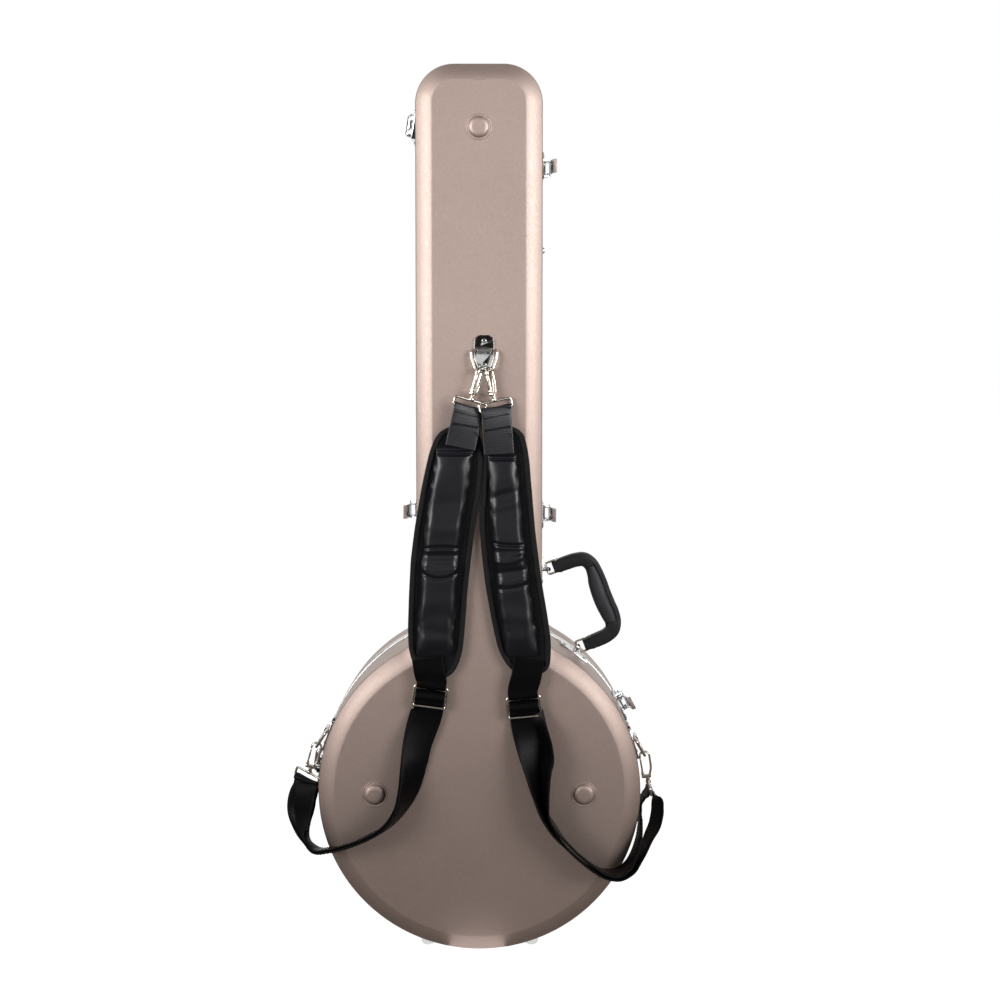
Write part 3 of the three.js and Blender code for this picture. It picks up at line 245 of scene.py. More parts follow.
def shell_profile(depth, side, wall):
    """The rolled edge as inset and depth: it falls slowly at first, then ever faster, and meets the side."""
    share = np.linspace(0, 1, 13)
    fall = ROLL_DEPTH * (ROLL_START * share + (1 - ROLL_START) * share**2)
    return np.stack([wall + ROLL_WIDTH * (1 - share), side * (depth - wall - fall)], 1)


def shell_grids(depth, side):
    """Face, rolled edge, side wall, cut edge, and the same again inside at the wall's thickness."""
    outer, inner = shell_profile(depth, side, 0.0), shell_profile(depth, side, SHELL_WALL)
    corner = outer[-1, 1]
    turn = np.array([[0.0, corner - side * below] for below in EDGE_BELOW])
    outer[-1] = [EDGE_ROUND, corner + side * EDGE_ROUND]
    crease = [[ROLL_WIDTH + CREASE, side * depth]]
    cut = [[0, side * CUT_EDGE], [SHELL_WALL, side * CUT_EDGE]]
    wall = swept_rim(np.concatenate([crease, outer, turn, cut, inner[::-1]]))
    inside = flat_face(SHELL_WALL + ROLL_WIDTH, side * (depth - SHELL_WALL))
    return [wall, flat_face(ROLL_WIDTH + CREASE, side * depth), inside]


pearl = pearl_shell()
back_shell = build("back_shell_skin", shell_grids(BACK_DEPTH, -1), pearl, "case_back", 50)
lid_shell = build("lid_shell_skin", shell_grids(LID_DEPTH, 1), pearl, "lid", 50)
for piece, solid in ((back_shell, "back_shell"), (lid_shell, "lid_shell")):
    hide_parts(solid)


# Resting bosses
# Three domed bosses moulded into the back so that it doesn't scuff when the case lies down.
# Each stands in a shallow ring that the mould leaves round its foot.
BOSS_RADIUS, BOSS_RISE, BOSS_RING = 13.3, 5.0, 14.7
BOSS_BELOW_TOP, BOSS_ASIDE = 77, 128.5
BOSS_PLACES = [(0.0, NECK_TOP - BOSS_BELOW_TOP), (-BOSS_ASIDE, BODY_Z), (BOSS_ASIDE, BODY_Z)]


def turned(profile, centre, axis, count=48):
    """A profile of radius and height turned about an axis through centre; height grows along the axis."""
    profile = np.asarray(profile, float)
    axis = np.asarray(axis, float) / np.linalg.norm(axis)
    aside = np.cross(axis, [0, 0, 1] if abs(axis[2]) < 0.9 else [1, 0, 0])
    aside /= np.linalg.norm(aside)
    other = np.cross(axis, aside)
    turn = np.linspace(0, 2 * math.pi, count + 1)
    spoke = np.cos(turn)[:, None] * aside + np.sin(turn)[:, None] * other
    return np.asarray(centre) + profile[:, None, 1:] * axis + profile[:, None, :1] * spoke


def boss_profile():
    """Flat crown, round shoulder, steep side, then a fillet down to the face."""
    turn = np.linspace(0, 1, 12) * math.pi / 2
    dome = np.stack([BOSS_RADIUS * (0.45 + 0.5 * np.sin(turn)), BOSS_RISE * np.cos(turn) ** 0.8], 1)
    dome = np.concatenate([[[0, BOSS_RISE]], dome[:-1], [[BOSS_RADIUS * 0.96, 0.55], [BOSS_RADIUS, 0.2]]])
    hollow = [[BOSS_RING - 0.5, 0.12], [BOSS_RING, 0.5], [BOSS_RING + 0.5, 0.55], [BOSS_RING + 1.1, 0.0]]
    return np.concatenate([dome, hollow, [[BOSS_RING + 1.3, -1], [0, -1]]])


boss_grids = [turned(boss_profile(), (x, -BACK_DEPTH, z), (0, -1, 0), 64) for x, z in BOSS_PLACES]
bosses = build("resting_bosses", boss_grids, pearl, "case_back", 60)


# Rims
# Extruded aluminium valances, bent round the shells' edges and riveted; the back one carries a tongue
# that the lid's closes over. Each has a bright rounded lip, a groove and a flatter leg.
RIM_REACH = 9.0


def rim_section(side, tongue):
    """Closed section as inset and depth: lip, groove and leg outside, then over the edge and down inside."""
    outside = [
        [-1.1, 0.3], [-1.5, 0.6], [-1.85, 1.3], [-1.95, 2.2], [-1.7, 3.1], [-1.2, 3.5], [-0.95, 3.9],
        [-1.0, 4.4], [-1.45, 4.7], [-1.55, 5.2], [-1.5, 7.9], [-1.3, 8.6], [-0.8, RIM_REACH],
        [-0.35, RIM_REACH], [-0.3, 1.6],
    ]
    inside = [[3.8, 1.6], [3.8, RIM_REACH], [5.1, RIM_REACH]]
    if tongue:
        inside += [[6.3, RIM_REACH], [7.6, RIM_REACH]]
        inside += [[7.6, -1.8], [7.3, -2.2], [6.6, -2.2], [6.3, -1.8], [6.3, 0.3]]
    else:
        inside += [[5.1, 0.3]]
    section = np.array(outside + inside + [outside[0]])
    section[:, 1] *= side
    return section


def bright_rim():
    """Bright anodised aluminium, brushed along its length: long streaks in the gloss and a few dull rubs."""
    made, shader = material_of("bright_rim_aluminium", {"Metallic": 1.0})
    streak = node(made, "ShaderNodeTexNoise", {"Scale": 1.0, "Detail": 4.0})
    stretch = node(made, "ShaderNodeMapping", {"Scale": (25.0, 1400.0, 25.0)})
    rub = node(made, "ShaderNodeTexNoise", {"Scale": 14.0, "Detail": 4.0})
    on_object(made, stretch, rub)
    link(made, stretch.outputs["Vector"], streak.inputs["Vector"])
    tone = ramp_between(made, rub.outputs["Fac"], [(0.3, (0.70, 0.69, 0.67)), (0.7, (0.80, 0.79, 0.77))])
    link(made, tone, shader.inputs["Base Color"])
    roughened(made, shader, streak.outputs["Fac"], (0.3, 0.7), (0.2, 0.34))
    bumped(made, shader, streak.outputs["Fac"], 0.12, 0.0002)
    return made


rim_metal = bright_rim()
for name, side, tongue, body in (("back_valance", -1, True, "case_back"), ("lid_valance", 1, False, "lid")):
    rim = build(name + "_rim", [swept_rim(rim_section(side, tongue))], rim_metal, body, 40)
    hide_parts(name)


# Linings
# Foam glued into each shell and covered in dark plush, with the room for the instrument pressed out of it.
# The plush turns over the edge of the room in a soft round and dips at the seam along its floor.
BODY_PADDING, END_PADDING, LINING_FLOOR, LINING_TOP = 12.0, 17.0, 9.0, 2.5
ROOM_RADIUS = BODY_RADIUS - SHELL_WALL - BODY_PADDING
CHANNEL_HALF, CHANNEL_TOP = 59.5, NECK_TOP - SHELL_WALL - END_PADDING
LINING_SEAM, SEAM_GAP, SEAM_FADE, LINING_ROUND, FLOOR_SAG = 392.0, 0.4, 0.5, 3.2, 0.8
ROOM_CORNER, BEHIND_SHELL, BEHIND_EDGE, BEHIND_RIM = 8.0, 0.5, 0.6, 0.4


def room_outline(grow):
    """Right half of the room in X and Z, grown outwards: the body's arc, then the neck's channel with round
    top corners."""
    radius, half = ROOM_RADIUS + grow, CHANNEL_HALF + grow
    meet = math.acos(half / radius)
    turn = np.linspace(-math.pi / 2, meet, 90)
    arc = np.stack([np.cos(turn), np.sin(turn)], 1) * radius + [0, BODY_Z]
    rise = np.linspace(0, 1, 57)[1:-1, None]
    top = CHANNEL_TOP + grow
    side = arc[-1] * (1 - rise) + np.array([half, top - ROOM_CORNER]) * rise
    turn = np.linspace(0, math.pi / 2, 8)
    bend = np.stack([np.cos(turn), np.sin(turn)], 1) * ROOM_CORNER + [half - ROOM_CORNER, top - ROOM_CORNER]
    return np.concatenate([arc, side, bend, [[half * 0.4, top], [0, top]]])


def rim_side_outline(inset):
    """The shell's outline moved inwards, with one point beside each of the room's points."""
    half = case_outline(inset)
    step = np.concatenate([[0], np.cumsum(np.linalg.norm(np.diff(half, axis=0), axis=1))])
    along = matched_lengths(half, step)
    return np.stack([np.interp(along, step, half[:, k]) for k in (0, 1)], 1)


def matched_lengths(half, step):
    """Where along the shell's outline the point nearest to each of the room's points lies, kept in order."""
    room = room_outline(0.0)
    fine = np.linspace(0, step[-1], 4000)
    spots = np.stack([np.interp(fine, step, half[:, k]) for k in (0, 1)], 1)
    nearest = np.argmin(((room[:, None] - spots[None]) ** 2).sum(-1), axis=1)
    nearest[0], nearest[-1] = 0, len(fine) - 1
    return fine[np.maximum.accumulate(nearest)]


def lining_rows(depth, rim_inset):
    """From under the shell up to the rim, over the padded edge, down the room's wall and onto its floor."""
    floor = depth - SHELL_WALL - LINING_FLOOR
    outer_floor = depth - SHELL_WALL - BEHIND_SHELL
    outside = [
        (SHELL_WALL + ROLL_WIDTH + 1, outer_floor), (SHELL_WALL + BEHIND_EDGE, outer_floor - ROLL_DEPTH - 1),
        (SHELL_WALL + BEHIND_EDGE, RIM_REACH + BEHIND_RIM), (rim_inset, RIM_REACH + BEHIND_RIM),
        (rim_inset + 0.2, LINING_TOP + 0.9), (rim_inset + 1.2, LINING_TOP + 0.1),
    ]
    turns = np.linspace(0, math.pi / 2, 7)
    edge = [(LINING_ROUND * (1 - math.sin(t)), LINING_TOP + LINING_ROUND * (1 - math.cos(t))) for t in turns]
    down = [(0.1, floor * 0.5), (0.3, floor - 3), (0.0, floor - 0.8)]
    down += [(-1.5, floor + 0.2), (-6.0, floor - 0.6)]
    rows = [(rim_side_outline(inset), y) for inset, y in outside]
    return rows + [(room_outline(grow), y) for grow, y in edge + down]


def lining_grids(depth, side, rim_inset, neck):
    """One half of a lining, cut across at the seam between body and neck: its rows right and left, both
    faces of its floor and the closed cut."""
    rows = []
    for flat, y in lining_rows(depth, rim_inset):
        turn = np.argmax(flat[:, 1] > LINING_SEAM)
        share = (LINING_SEAM - flat[turn - 1, 1]) / (flat[turn, 1] - flat[turn - 1, 1])
        cut = flat[turn - 1] + share * (flat[turn] - flat[turn - 1])
        kept = np.concatenate([[cut], flat[turn:]]) if neck else np.concatenate([flat[:turn], [cut]])
        gap = SEAM_GAP if neck else -SEAM_GAP
        kept[:, 1] += gap * np.exp(-np.abs(kept[:, 1] - LINING_SEAM) / SEAM_FADE)
        rows.append((kept, y))
    count = min(len(flat) for flat, y in rows)
    rows = [(resampled(flat, count), y) for flat, y in rows]
    right = np.stack([np.stack([flat[:, 0], np.full(count, side * y), flat[:, 1]], -1) for flat, y in rows])
    left = right[:, ::-1] * [-1, 1, 1]
    across = np.linspace(-1, 1, 17)
    faces = []
    for (flat, y), sag in ((rows[-1], FLOOR_SAG), (rows[0], 0.0)):
        x = flat[:, :1] * across
        dip = side * (y + sag * (1 - across**2))
        faces.append(np.stack([x, np.broadcast_to(dip, x.shape), np.broadcast_to(flat[:, 1:], x.shape)], -1))
    edge = right[:, 0 if neck else -1]
    edge = np.concatenate([edge[:1] * [0, 1, 1], edge, edge[-1:] * [0, 1, 1]])
    cap = np.stack([resampled(edge[:7], 14), resampled(edge[:5:-1], 14)])
    return [right, left, *faces, cap, cap * [-1, 1, 1]]


def resampled(line, count):
    """A line with a set number of points, spread evenly along it."""
    step = np.concatenate([[0], np.cumsum(np.linalg.norm(np.diff(line, axis=0), axis=1))])
    return np.stack([np.interp(np.linspace(0, step[-1], count), step, column) for column in line.T], 1)


def dark_plush(name, deep, pale):
    """Short pile: fine speckle in the tone, patches where a hand has brushed it, and a soft edge sheen."""
    made, shader = material_of(name, {"Roughness": 0.95, "Sheen Weight": 0.6, "Sheen Roughness": 0.35})
    pile = node(made, "ShaderNodeTexNoise", {"Scale": 900.0, "Detail": 3.0, "Roughness": 0.7})
    brush = node(made, "ShaderNodeTexNoise", {"Scale": 9.0, "Detail": 3.0, "Distortion": 0.6})
    on_object(made, pile, brush)
    half = node(made, "ShaderNodeMath", {1: 0.6}, operation="MULTIPLY")
    link(made, pile.outputs["Fac"], half.inputs[0])
    both = node(made, "ShaderNodeMath", operation="ADD")
    link(made, half.outputs[0], both.inputs[0])
    link(made, brush.outputs["Fac"], both.inputs[1])
    tone = ramp_between(made, both.outputs[0], [(0.6, deep), (1.0, pale)])
    link(made, tone, shader.inputs["Base Color"])
    bumped(made, shader, pile.outputs["Fac"], 0.7, 0.0008)
    return made


plush = dark_plush("lining_plush", (0.018, 0.014, 0.017), (0.055, 0.043, 0.050))
linings = (("back_lining", BACK_DEPTH, -1, 7.9, "case_back"), ("lid_lining", LID_DEPTH, 1, 5.4, "lid"))
for name, depth, side, inset, body in linings:
    for part in ("body", "neck"):
        grids = lining_grids(depth, side, inset, part == "neck")
        lining = build(f"{name}_{part}_plush", grids, plush, body, 60)
        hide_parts(f"{name}_{part}")


# Plated hardware
# Hinges, latches, brackets, plates and feet are pressed steel with bright chrome, riveted through the shells.
# Their cut edges are rounded, so they are copies of the solids with merged faces and soft edges.
def plated(name, low, high, rough):
    """Plating: faint clouds in the tone, fingermarks in the gloss and the ripple of a polished pressing."""
    made, shader = material_of(name, {"Metallic": 1.0})
    marks = {"Scale": 55.0, "Detail": 5.0, "Roughness": 0.65, "Distortion": 0.8}
    smear = node(made, "ShaderNodeTexNoise", marks)
    ripple = node(made, "ShaderNodeTexNoise", {"Scale": 160.0, "Detail": 2.0})
    on_object(made, smear, ripple)
    tone = ramp_between(made, smear.outputs["Fac"], [(0.3, low), (0.7, high)])
    link(made, tone, shader.inputs["Base Color"])
    roughened(made, shader, smear.outputs["Fac"], (0.35, 0.7), rough)
    bumped(made, shader, ripple.outputs["Fac"], 0.08, 0.0004)
    return made


def softened(name, material, width):
    """A copy of a solid with its faces merged and its edges rounded, in the solid's place."""
    solid = frame["nodes"][name]
    mesh = solid.data.copy()
    tidy_mesh(mesh)
    mesh.materials.clear()
    mesh.materials.append(material)
    piece = bpy.data.objects.new(f"{name}_soft", mesh)
    bpy.context.scene.collection.objects.link(piece)
    edge = piece.modifiers.new("edge", "BEVEL")
    edge.width, edge.segments = width, 2
    edge.limit_method, edge.angle_limit = "ANGLE", math.radians(38)
    edge.use_clamp_overlap = True
    smooth(piece, 42)
    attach(piece, body_of[name])
    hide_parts(name)
    return piece


body_of = {name: body for body, names in frame["record"]["behaviour"]["bodies"].items() for name in names}
chrome = plated("bright_chrome", (0.52, 0.52, 0.525), (0.60, 0.60, 0.60), (0.06, 0.18))
CHROME_STARTS = ("hinge_", "latch_", "handle_bracket", "tail_foot", "side_eyelet")
PRESSED_EDGE = 0.35
for name in frame["nodes"]:
    if name.startswith(CHROME_STARTS) or name.endswith("_plate"):
        softened(name, chrome, PRESSED_EDGE / 1000)


# Plush boards
# The neck rest and the lid of the small compartment are boards wrapped in the same plush as the lining.
BOARD_EDGE = 1.2
for name in ("neck_cradle", "compartment_lid"):
    softened(name, plush, BOARD_EDGE / 1000)


# Shoulder pads
# Each pad is foam on a spacer-mesh back: a charcoal satin nylon panel is stuffed and sewn down on a
# wider black back, whose edge is turned in knit tape. The panel creases where the pad has been folded.
PAD_SIDES = {
    "left": [
        (654, -30, -16), (653, -39, -9), (650, -44, -3.5), (640, -52.5, 1.5), (625, -58.5, 4.2),
        (612, -62.1, 4.5), (596, -65.5, 3.6), (575, -69.9, 1.4), (551, -74.0, -2.4), (529, -77.7, -6.0),
        (492, -82.4, -10.4), (451, -84.6, -15.0), (409, -86.1, -17.9), (384, -85.4, -20.2),
        (370, -82.0, -23.5), (359, -76.0, -28.0), (351, -67.0, -34.0), (348, -60.0, -38.5),
        (346.6, -52, -44),
    ],
    "right": [
        (656, 15, 30), (655.3, 10, 38), (652, 7.4, 45.5), (644, 6.8, 54.0), (628, 6.6, 58.0),
        (610, 6.4, 60.5), (596, 5.8, 61.8), (572, 3.6, 63.7), (551, 1.4, 65.5), (529, 1.2, 67.4),
        (493, 4.4, 71.7), (465, 7.6, 75.5), (423, 14.8, 82.6), (395, 20.5, 86.6), (381, 24.3, 86.9),
        (367, 31.5, 86.4), (358, 38.5, 84.2), (352.5, 47.0, 77.5), (350.6, 56, 70),
    ],
}
PAD_BACK_Y, PAD_FRONT_Y, PAD_PROUDEST, PAD_ROUND = -98.6, -105.4, -117.6, 0.5
PANEL_SIDES = {
    "left": [
        (628, -52.0, -6.1), (600, -57.0, -8.0), (583, -60.2, -9.8), (548, -66.1, -14.8),
        (525, -69.4, -17.7), (488, -72.2, -21.2), (455, -74.4, -23.6), (432, -75.8, -25.3),
        (385, -77.4, -30.0), (375, -77.0, -32.5),
    ],
    "right": [
        (622, 8.4, 45.4), (583, 9.9, 51.0), (548, 11.1, 54.6), (515, 13.2, 57.6), (488, 16.2, 61.0),
        (464, 18.2, 63.6), (432, 21.4, 66.9), (397, 28.0, 71.6), (374, 33.0, 73.0),
    ],
}
PANEL_CROWN, PANEL_SUNK, PANEL_SEWN, PANEL_PUSH = 8.0, 1.5, 1.8, 4.0
SEWN_AT, SEWN_WIDE, PUCKER_DEEP, PUCKER_ASIDE, TOP_PRESS, FOOT_PRESS = 0.93, 0.1, 0.5, 0.55, 4.5, 5.0
TAPE_OUT, TAPE_HALF, TAPE_HALF_DEPTH = 3.0, 3.6, 4.7
PAD_FOLDS = {
    "left": [
        (560, 0.7, 9, 0.15, 0), (531, -0.9, 9, -0.1, 3), (508.5, 3.2, 1.8, 0.0, -3),
        (498, 4.2, 6, 0.0, 0), (477.5, -3.4, 3.4, 0.0, 9), (470.5, 2.4, 2.0, 0.0, 9),
        (440, -0.8, 12, 0.1, 0), (405, 0.8, 8, -0.1, 0),
    ],
    "right": [
        (572, 1.3, 5, 0.28, 0), (560, -0.8, 6, 0.25, 0), (511, 3.4, 1.9, -0.06, 2), (503, 1.6, 4, 0.0, 0),
        (493, -2.4, 3.6, 0.22, 3), (479, 2.8, 4.2, 0.14, 0), (466, -2.6, 3.2, 0.16, 2),
        (459, 1.8, 2.0, 0.16, 2), (425, -0.8, 10, -0.1, 0),
    ],
}


def pad_span(table, z):
    """Left and right edge of a pad or panel at height z: its marks, joined straight and then averaged."""
    marks = np.array(table[::-1], float)
    fine = np.linspace(marks[0, 0], marks[-1, 0], 900)
    kernel = np.hanning(41) / np.hanning(41).sum()
    edges = []
    for k in (1, 2):
        straight = np.interp(fine, marks[:, 0], marks[:, k])
        padded_ends = np.pad(straight, len(kernel) // 2, mode="reflect", reflect_type="odd")
        edges.append(np.interp(z, fine, np.convolve(padded_ends, kernel, mode="valid")))
    return edges


def pad_heights(table, count):
    """Heights down a pad or panel, closer together at its ends."""
    top, low = table[0][0], table[-1][0]
    share = (1 - np.cos(np.linspace(0, math.pi, count))) / 2
    return top + (low - top) * share


def pad_body(table, z, inset, back, front, section):
    """A soft slab: its section at each height is a rounded box between the edges, from back to front."""
    left, right = pad_span(table, z)
    middle, half = (left + right) / 2, np.maximum((right - left) / 2 - inset, 0.01)
    ring = round_section(1.0, 1.0, section, PAD_ROUND)
    x = middle[:, None] + half[:, None] * ring[:, 0]
    y = (back + front) / 2 + (front - back) / 2 * ring[None, :, 1]
    return np.stack([x, np.broadcast_to(y, x.shape), np.broadcast_to(z[:, None], x.shape)], -1)


def pad_perimeter(side, count):
    """The pad's edge as one closed line, evenly spaced, its corners eased."""
    z = pad_heights(PAD_SIDES[side], 160)
    left, right = pad_span(PAD_SIDES[side], z)
    line = np.concatenate([np.stack([right, z], 1), np.stack([left, z], 1)[::-1]])
    line = np.concatenate([line, line[:1]])
    step = np.concatenate([[0], np.cumsum(np.linalg.norm(np.diff(line, axis=0), axis=1))])
    even = np.linspace(0, step[-1], count)
    line = np.stack([np.interp(even, step, line[:, k]) for k in (0, 1)], 1)
    kernel = np.hanning(9) / np.hanning(9).sum()
    ring = np.concatenate([line[-5:-1], line, line[1:5]])
    line = np.stack([np.convolve(ring[:, k], kernel, mode="valid") for k in (0, 1)], 1)
    line[-1] = line[0]
    return line


def carried(path, across, out, section):
    """A flat section carried along a path: its first measure runs along across and its second along out."""
    return path[:, None] + section[None, :, :1] * across[:, None] + section[None, :, 1:] * out[:, None]


def swollen(values, power):
    """Values from minus one to one, raised to a power while they keep their sign."""
    return np.sign(values) * np.abs(values) ** power


def round_section(half_wide, half_thick, count=16, power=1.0):
    """A closed oval (wide cos^p t, thick sin^p t): a power p below one makes it a rounded box."""
    turn = np.linspace(0, 2 * math.pi, count + 1)
    return np.stack([half_wide * swollen(np.cos(turn), power), half_thick * swollen(np.sin(turn), power)], 1)


def add_weave(piece, grids, measures):
    """Keeps how far along and across the cloth each point lies, for threads that follow the piece."""
    points = np.concatenate([row(grid.reshape(-1, 3)) for grid in grids])
    values = np.concatenate([m.reshape(-1, 2) for m in measures])
    tree = KDTree(len(points))
    for index, point in enumerate(points):
        tree.insert(point, index)
    tree.balance()
    found = [tree.find(v.co)[1] for v in piece.data.vertices]
    cloth = piece.data.attributes.new("weave", "FLOAT_VECTOR", "POINT")
    flat = np.concatenate([values[found], np.zeros((len(found), 1))], 1)
    cloth.data.foreach_set("vector", flat.astype(np.float32).ravel())


def cloth_measures(grid):
    """Length along the rows and across the columns of a grid, in metres."""
    along = np.concatenate([[0], np.cumsum(np.linalg.norm(np.diff(grid.mean(1), axis=0), axis=1))])
    step = np.linalg.norm(np.diff(grid, axis=1), axis=2).mean(0)
    around = np.concatenate([[0], np.cumsum(step)])
    return np.stack(np.meshgrid(along, around, indexing="ij"), -1) / 1000


def threads(made, scale, distortion, detail, fine, way):
    """Waves that stand for the threads of a cloth, across one of its ways."""
    bands = {"Scale": scale, "Distortion": distortion, "Detail": detail, "Detail Scale": fine}
    return node(made, "ShaderNodeTexWave", bands, bands_direction=way)


def on_cloth(made, *textures):
    """Lets textures read how far along and across the cloth they are."""
    cloth = node(made, "ShaderNodeAttribute", attribute_name="weave").outputs["Vector"]
    for texture in textures:
        link(made, cloth, texture.inputs["Vector"])


def panel_nylon():
    """Charcoal satin nylon: fine plain weave, drawn threads, a soft sheen and a cool cast."""
    satin = {"Roughness": 0.36, "Specular IOR Level": 0.42, "Sheen Weight": 0.02, "Sheen Roughness": 0.4}
    made, shader = material_of("charcoal_satin_nylon", satin)
    up, over = threads(made, 620.0, 0.6, 1.0, 3.0, "Z"), threads(made, 540.0, 0.6, 1.0, 3.0, "X")
    slub = node(made, "ShaderNodeTexNoise", {"Scale": 1.0, "Detail": 4.0})
    stretch = node(made, "ShaderNodeMapping", {"Scale": (900.0, 60.0, 60.0)})
    cloud = node(made, "ShaderNodeTexNoise", {"Scale": 22.0, "Detail": 3.0})
    on_object(made, up, over, cloud, stretch)
    link(made, stretch.outputs["Vector"], slub.inputs["Vector"])
    weave = node(made, "ShaderNodeMath", operation="MULTIPLY")
    link(made, up.outputs["Fac"], weave.inputs[0])
    link(made, over.outputs["Fac"], weave.inputs[1])
    charcoal = [(0.3, (0.0022, 0.0020, 0.0036)), (0.7, (0.0048, 0.0044, 0.0074))]
    drawn = [(0.35, (0.75, 0.75, 0.78)), (0.7, (1.25, 1.25, 1.25))]
    tone = ramp_between(made, cloud.outputs["Fac"], charcoal)
    tinted(made, shader, tone, ramp_between(made, slub.outputs["Fac"], drawn))
    bumped(made, shader, weave.outputs[0], 0.1, 0.0002)
    bumped(made, shader, slub.outputs["Fac"], 0.15, 0.0003)
    return made


def spacer_mesh():
    """Black spacer mesh: small open cells in a matt knit."""
    made, shader = material_of("black_spacer_mesh", {"Roughness": 0.9, "Specular IOR Level": 0.12})
    cell = node(made, "ShaderNodeTexVoronoi", {"Scale": 420.0, "Randomness": 0.25}, feature="F1")
    knit = node(made, "ShaderNodeTexNoise", {"Scale": 1500.0, "Detail": 2.0})
    on_object(made, cell, knit)
    black = [(0.1, (0.002, 0.002, 0.0025)), (0.45, (0.008, 0.008, 0.009))]
    link(made, ramp_between(made, cell.outputs["Distance"], black), shader.inputs["Base Color"])
    bumped(made, shader, cell.outputs["Distance"], 0.8, 0.0012)
    bumped(made, shader, knit.outputs["Fac"], 0.3, 0.0003)
    return made


def knit_tape():
    """Black knit binding: close ribs across the tape that follow it round, with a fine nap."""
    made, shader = material_of("black_knit_tape", {"Roughness": 0.8, "Specular IOR Level": 0.25})
    rib = threads(made, 260.0, 0.8, 2.0, 2.0, "X")
    on_cloth(made, rib)
    nap = node(made, "ShaderNodeTexNoise", {"Scale": 1300.0, "Detail": 2.0})
    on_object(made, nap)
    black = [(0.2, (0.003, 0.003, 0.0035)), (0.8, (0.010, 0.010, 0.011))]
    link(made, ramp_between(made, rib.outputs["Fac"], black), shader.inputs["Base Color"])
    bumped(made, shader, rib.outputs["Fac"], 0.6, 0.0006)
    bumped(made, shader, nap.outputs["Fac"], 0.4, 0.0003)
    return made


def stuff(piece, push, frames=20, voxel=4.0, pressure=4.0):
    """Blows a pad up as its foam does: remeshed, run as cloth under pressure, each point's move capped."""
    bpy.ops.object.select_all(action="DESELECT")
    bpy.context.view_layer.objects.active = piece
    piece.select_set(True)
    remesh = piece.modifiers.new("even", "REMESH")
    remesh.mode, remesh.voxel_size = "VOXEL", voxel / 1000
    bpy.ops.object.modifier_apply(modifier="even")
    rest = np.empty(len(piece.data.vertices) * 3, np.float32)
    piece.data.vertices.foreach_get("co", rest)
    cloth = piece.modifiers.new("stuffing", "CLOTH")
    cloth.settings.use_pressure, cloth.settings.uniform_pressure_force = True, pressure
    cloth.settings.effector_weights.gravity = 0
    cloth.settings.quality = 5
    cloth.point_cache.frame_start, cloth.point_cache.frame_end = 1, frames
    for step in range(1, frames + 1):
        bpy.context.scene.frame_set(step)
    made = piece.evaluated_get(bpy.context.evaluated_depsgraph_get()).data
    moved = np.empty_like(rest)
    made.vertices.foreach_get("co", moved)
    piece.modifiers.remove(cloth)
    bpy.context.scene.frame_set(1)
    shift = (moved - rest).reshape(-1, 3) * [0.25, 1.0, 0.25]
    length = np.linalg.norm(shift, axis=1, keepdims=True)
    shift *= np.minimum(1, push / 1000 / np.maximum(length, 1e-9))
    piece.data.vertices.foreach_set("co", (rest.reshape(-1, 3) + shift).astype(np.float32).ravel())
    piece.data.update()


def vertex_points(piece):
    """A piece's points in case millimetres."""
    flat = np.empty(len(piece.data.vertices) * 3, np.float32)
    piece.data.vertices.foreach_get("co", flat)
    return (flat.reshape(-1, 3).astype(float) - case_origin) * 1000


def set_points(piece, points):
    """Gives a piece its points, in case millimetres."""
    piece.data.vertices.foreach_set("co", row(points).astype(np.float32).ravel())
    piece.data.update()


def hill(values, width):
    """One where the values are nought, falling softly to nothing on both sides within about two widths."""
    return np.exp(-((values / width) ** 2))


def sculpt_panel(piece, side):
    """Folds across the panel, puckers along its two side seams and a flat where it is sewn at each end."""
    points = vertex_points(piece)
    left, right = pad_span(PANEL_SIDES[side], points[:, 2])
    middle, half = (left + right) / 2, np.maximum((right - left) / 2, 1)
    across = (points[:, 0] - middle) / half
    front = np.clip((PAD_FRONT_Y - points[:, 1]) / PANEL_CROWN, 0, 1)
    z = points[:, 2]
    move = np.zeros(len(points))
    for at, deep, wide, slant, curve in PAD_FOLDS[side]:
        line = at + slant * across * half + curve * across**2
        move += deep * hill(z - line, wide) * (1 - 0.8 * np.clip(np.abs(across), 0, 1) ** 4)
    seam = hill(np.abs(across) - SEWN_AT, SEWN_WIDE)
    pucker = np.sin(z / 2.6 + 1.7 * np.sin(z / 17)) + 0.6 * np.sin(z / 4.9 + across * 2)
    move += seam * (PUCKER_DEEP * pucker)
    points[:, 0] += seam * np.sign(across) * PUCKER_ASIDE * np.sin(z / 3.7 + 2 * np.sin(z / 23)) * front
    sway = 0.5 * np.sin(z / 21 + 0.8 * across) + 0.35 * np.sin(z / 11 - 1.3 * across)
    move += sway * (1 - across**2)
    points[:, 1] += move * front
    top, low = PANEL_SIDES[side][0][0], PANEL_SIDES[side][-1][0]
    press = hill(np.maximum(top - z, 0), TOP_PRESS) + hill(np.maximum(z - low, 0), FOOT_PRESS)
    press += 0.75 * hill(z - top + 7.5, 1.3) + 0.4 * hill(z - top + 1.5, 1.2)
    points[:, 1] += front * np.clip(press, 0, 1) * (PAD_FRONT_Y - PANEL_SEWN - points[:, 1]) * 0.8
    points[:, 1] = np.maximum(points[:, 1], PAD_PROUDEST)
    set_points(piece, points)


def back_of_pad(side):
    """The wide mesh back of a pad."""
    outline = PAD_SIDES[side]
    slab = pad_body(outline, pad_heights(outline, 120), 0.6, PAD_BACK_Y, PAD_FRONT_Y, 40)
    piece = build(f"pad_{side}_back", [slab], mesh_cloth, "case_back")
    return piece


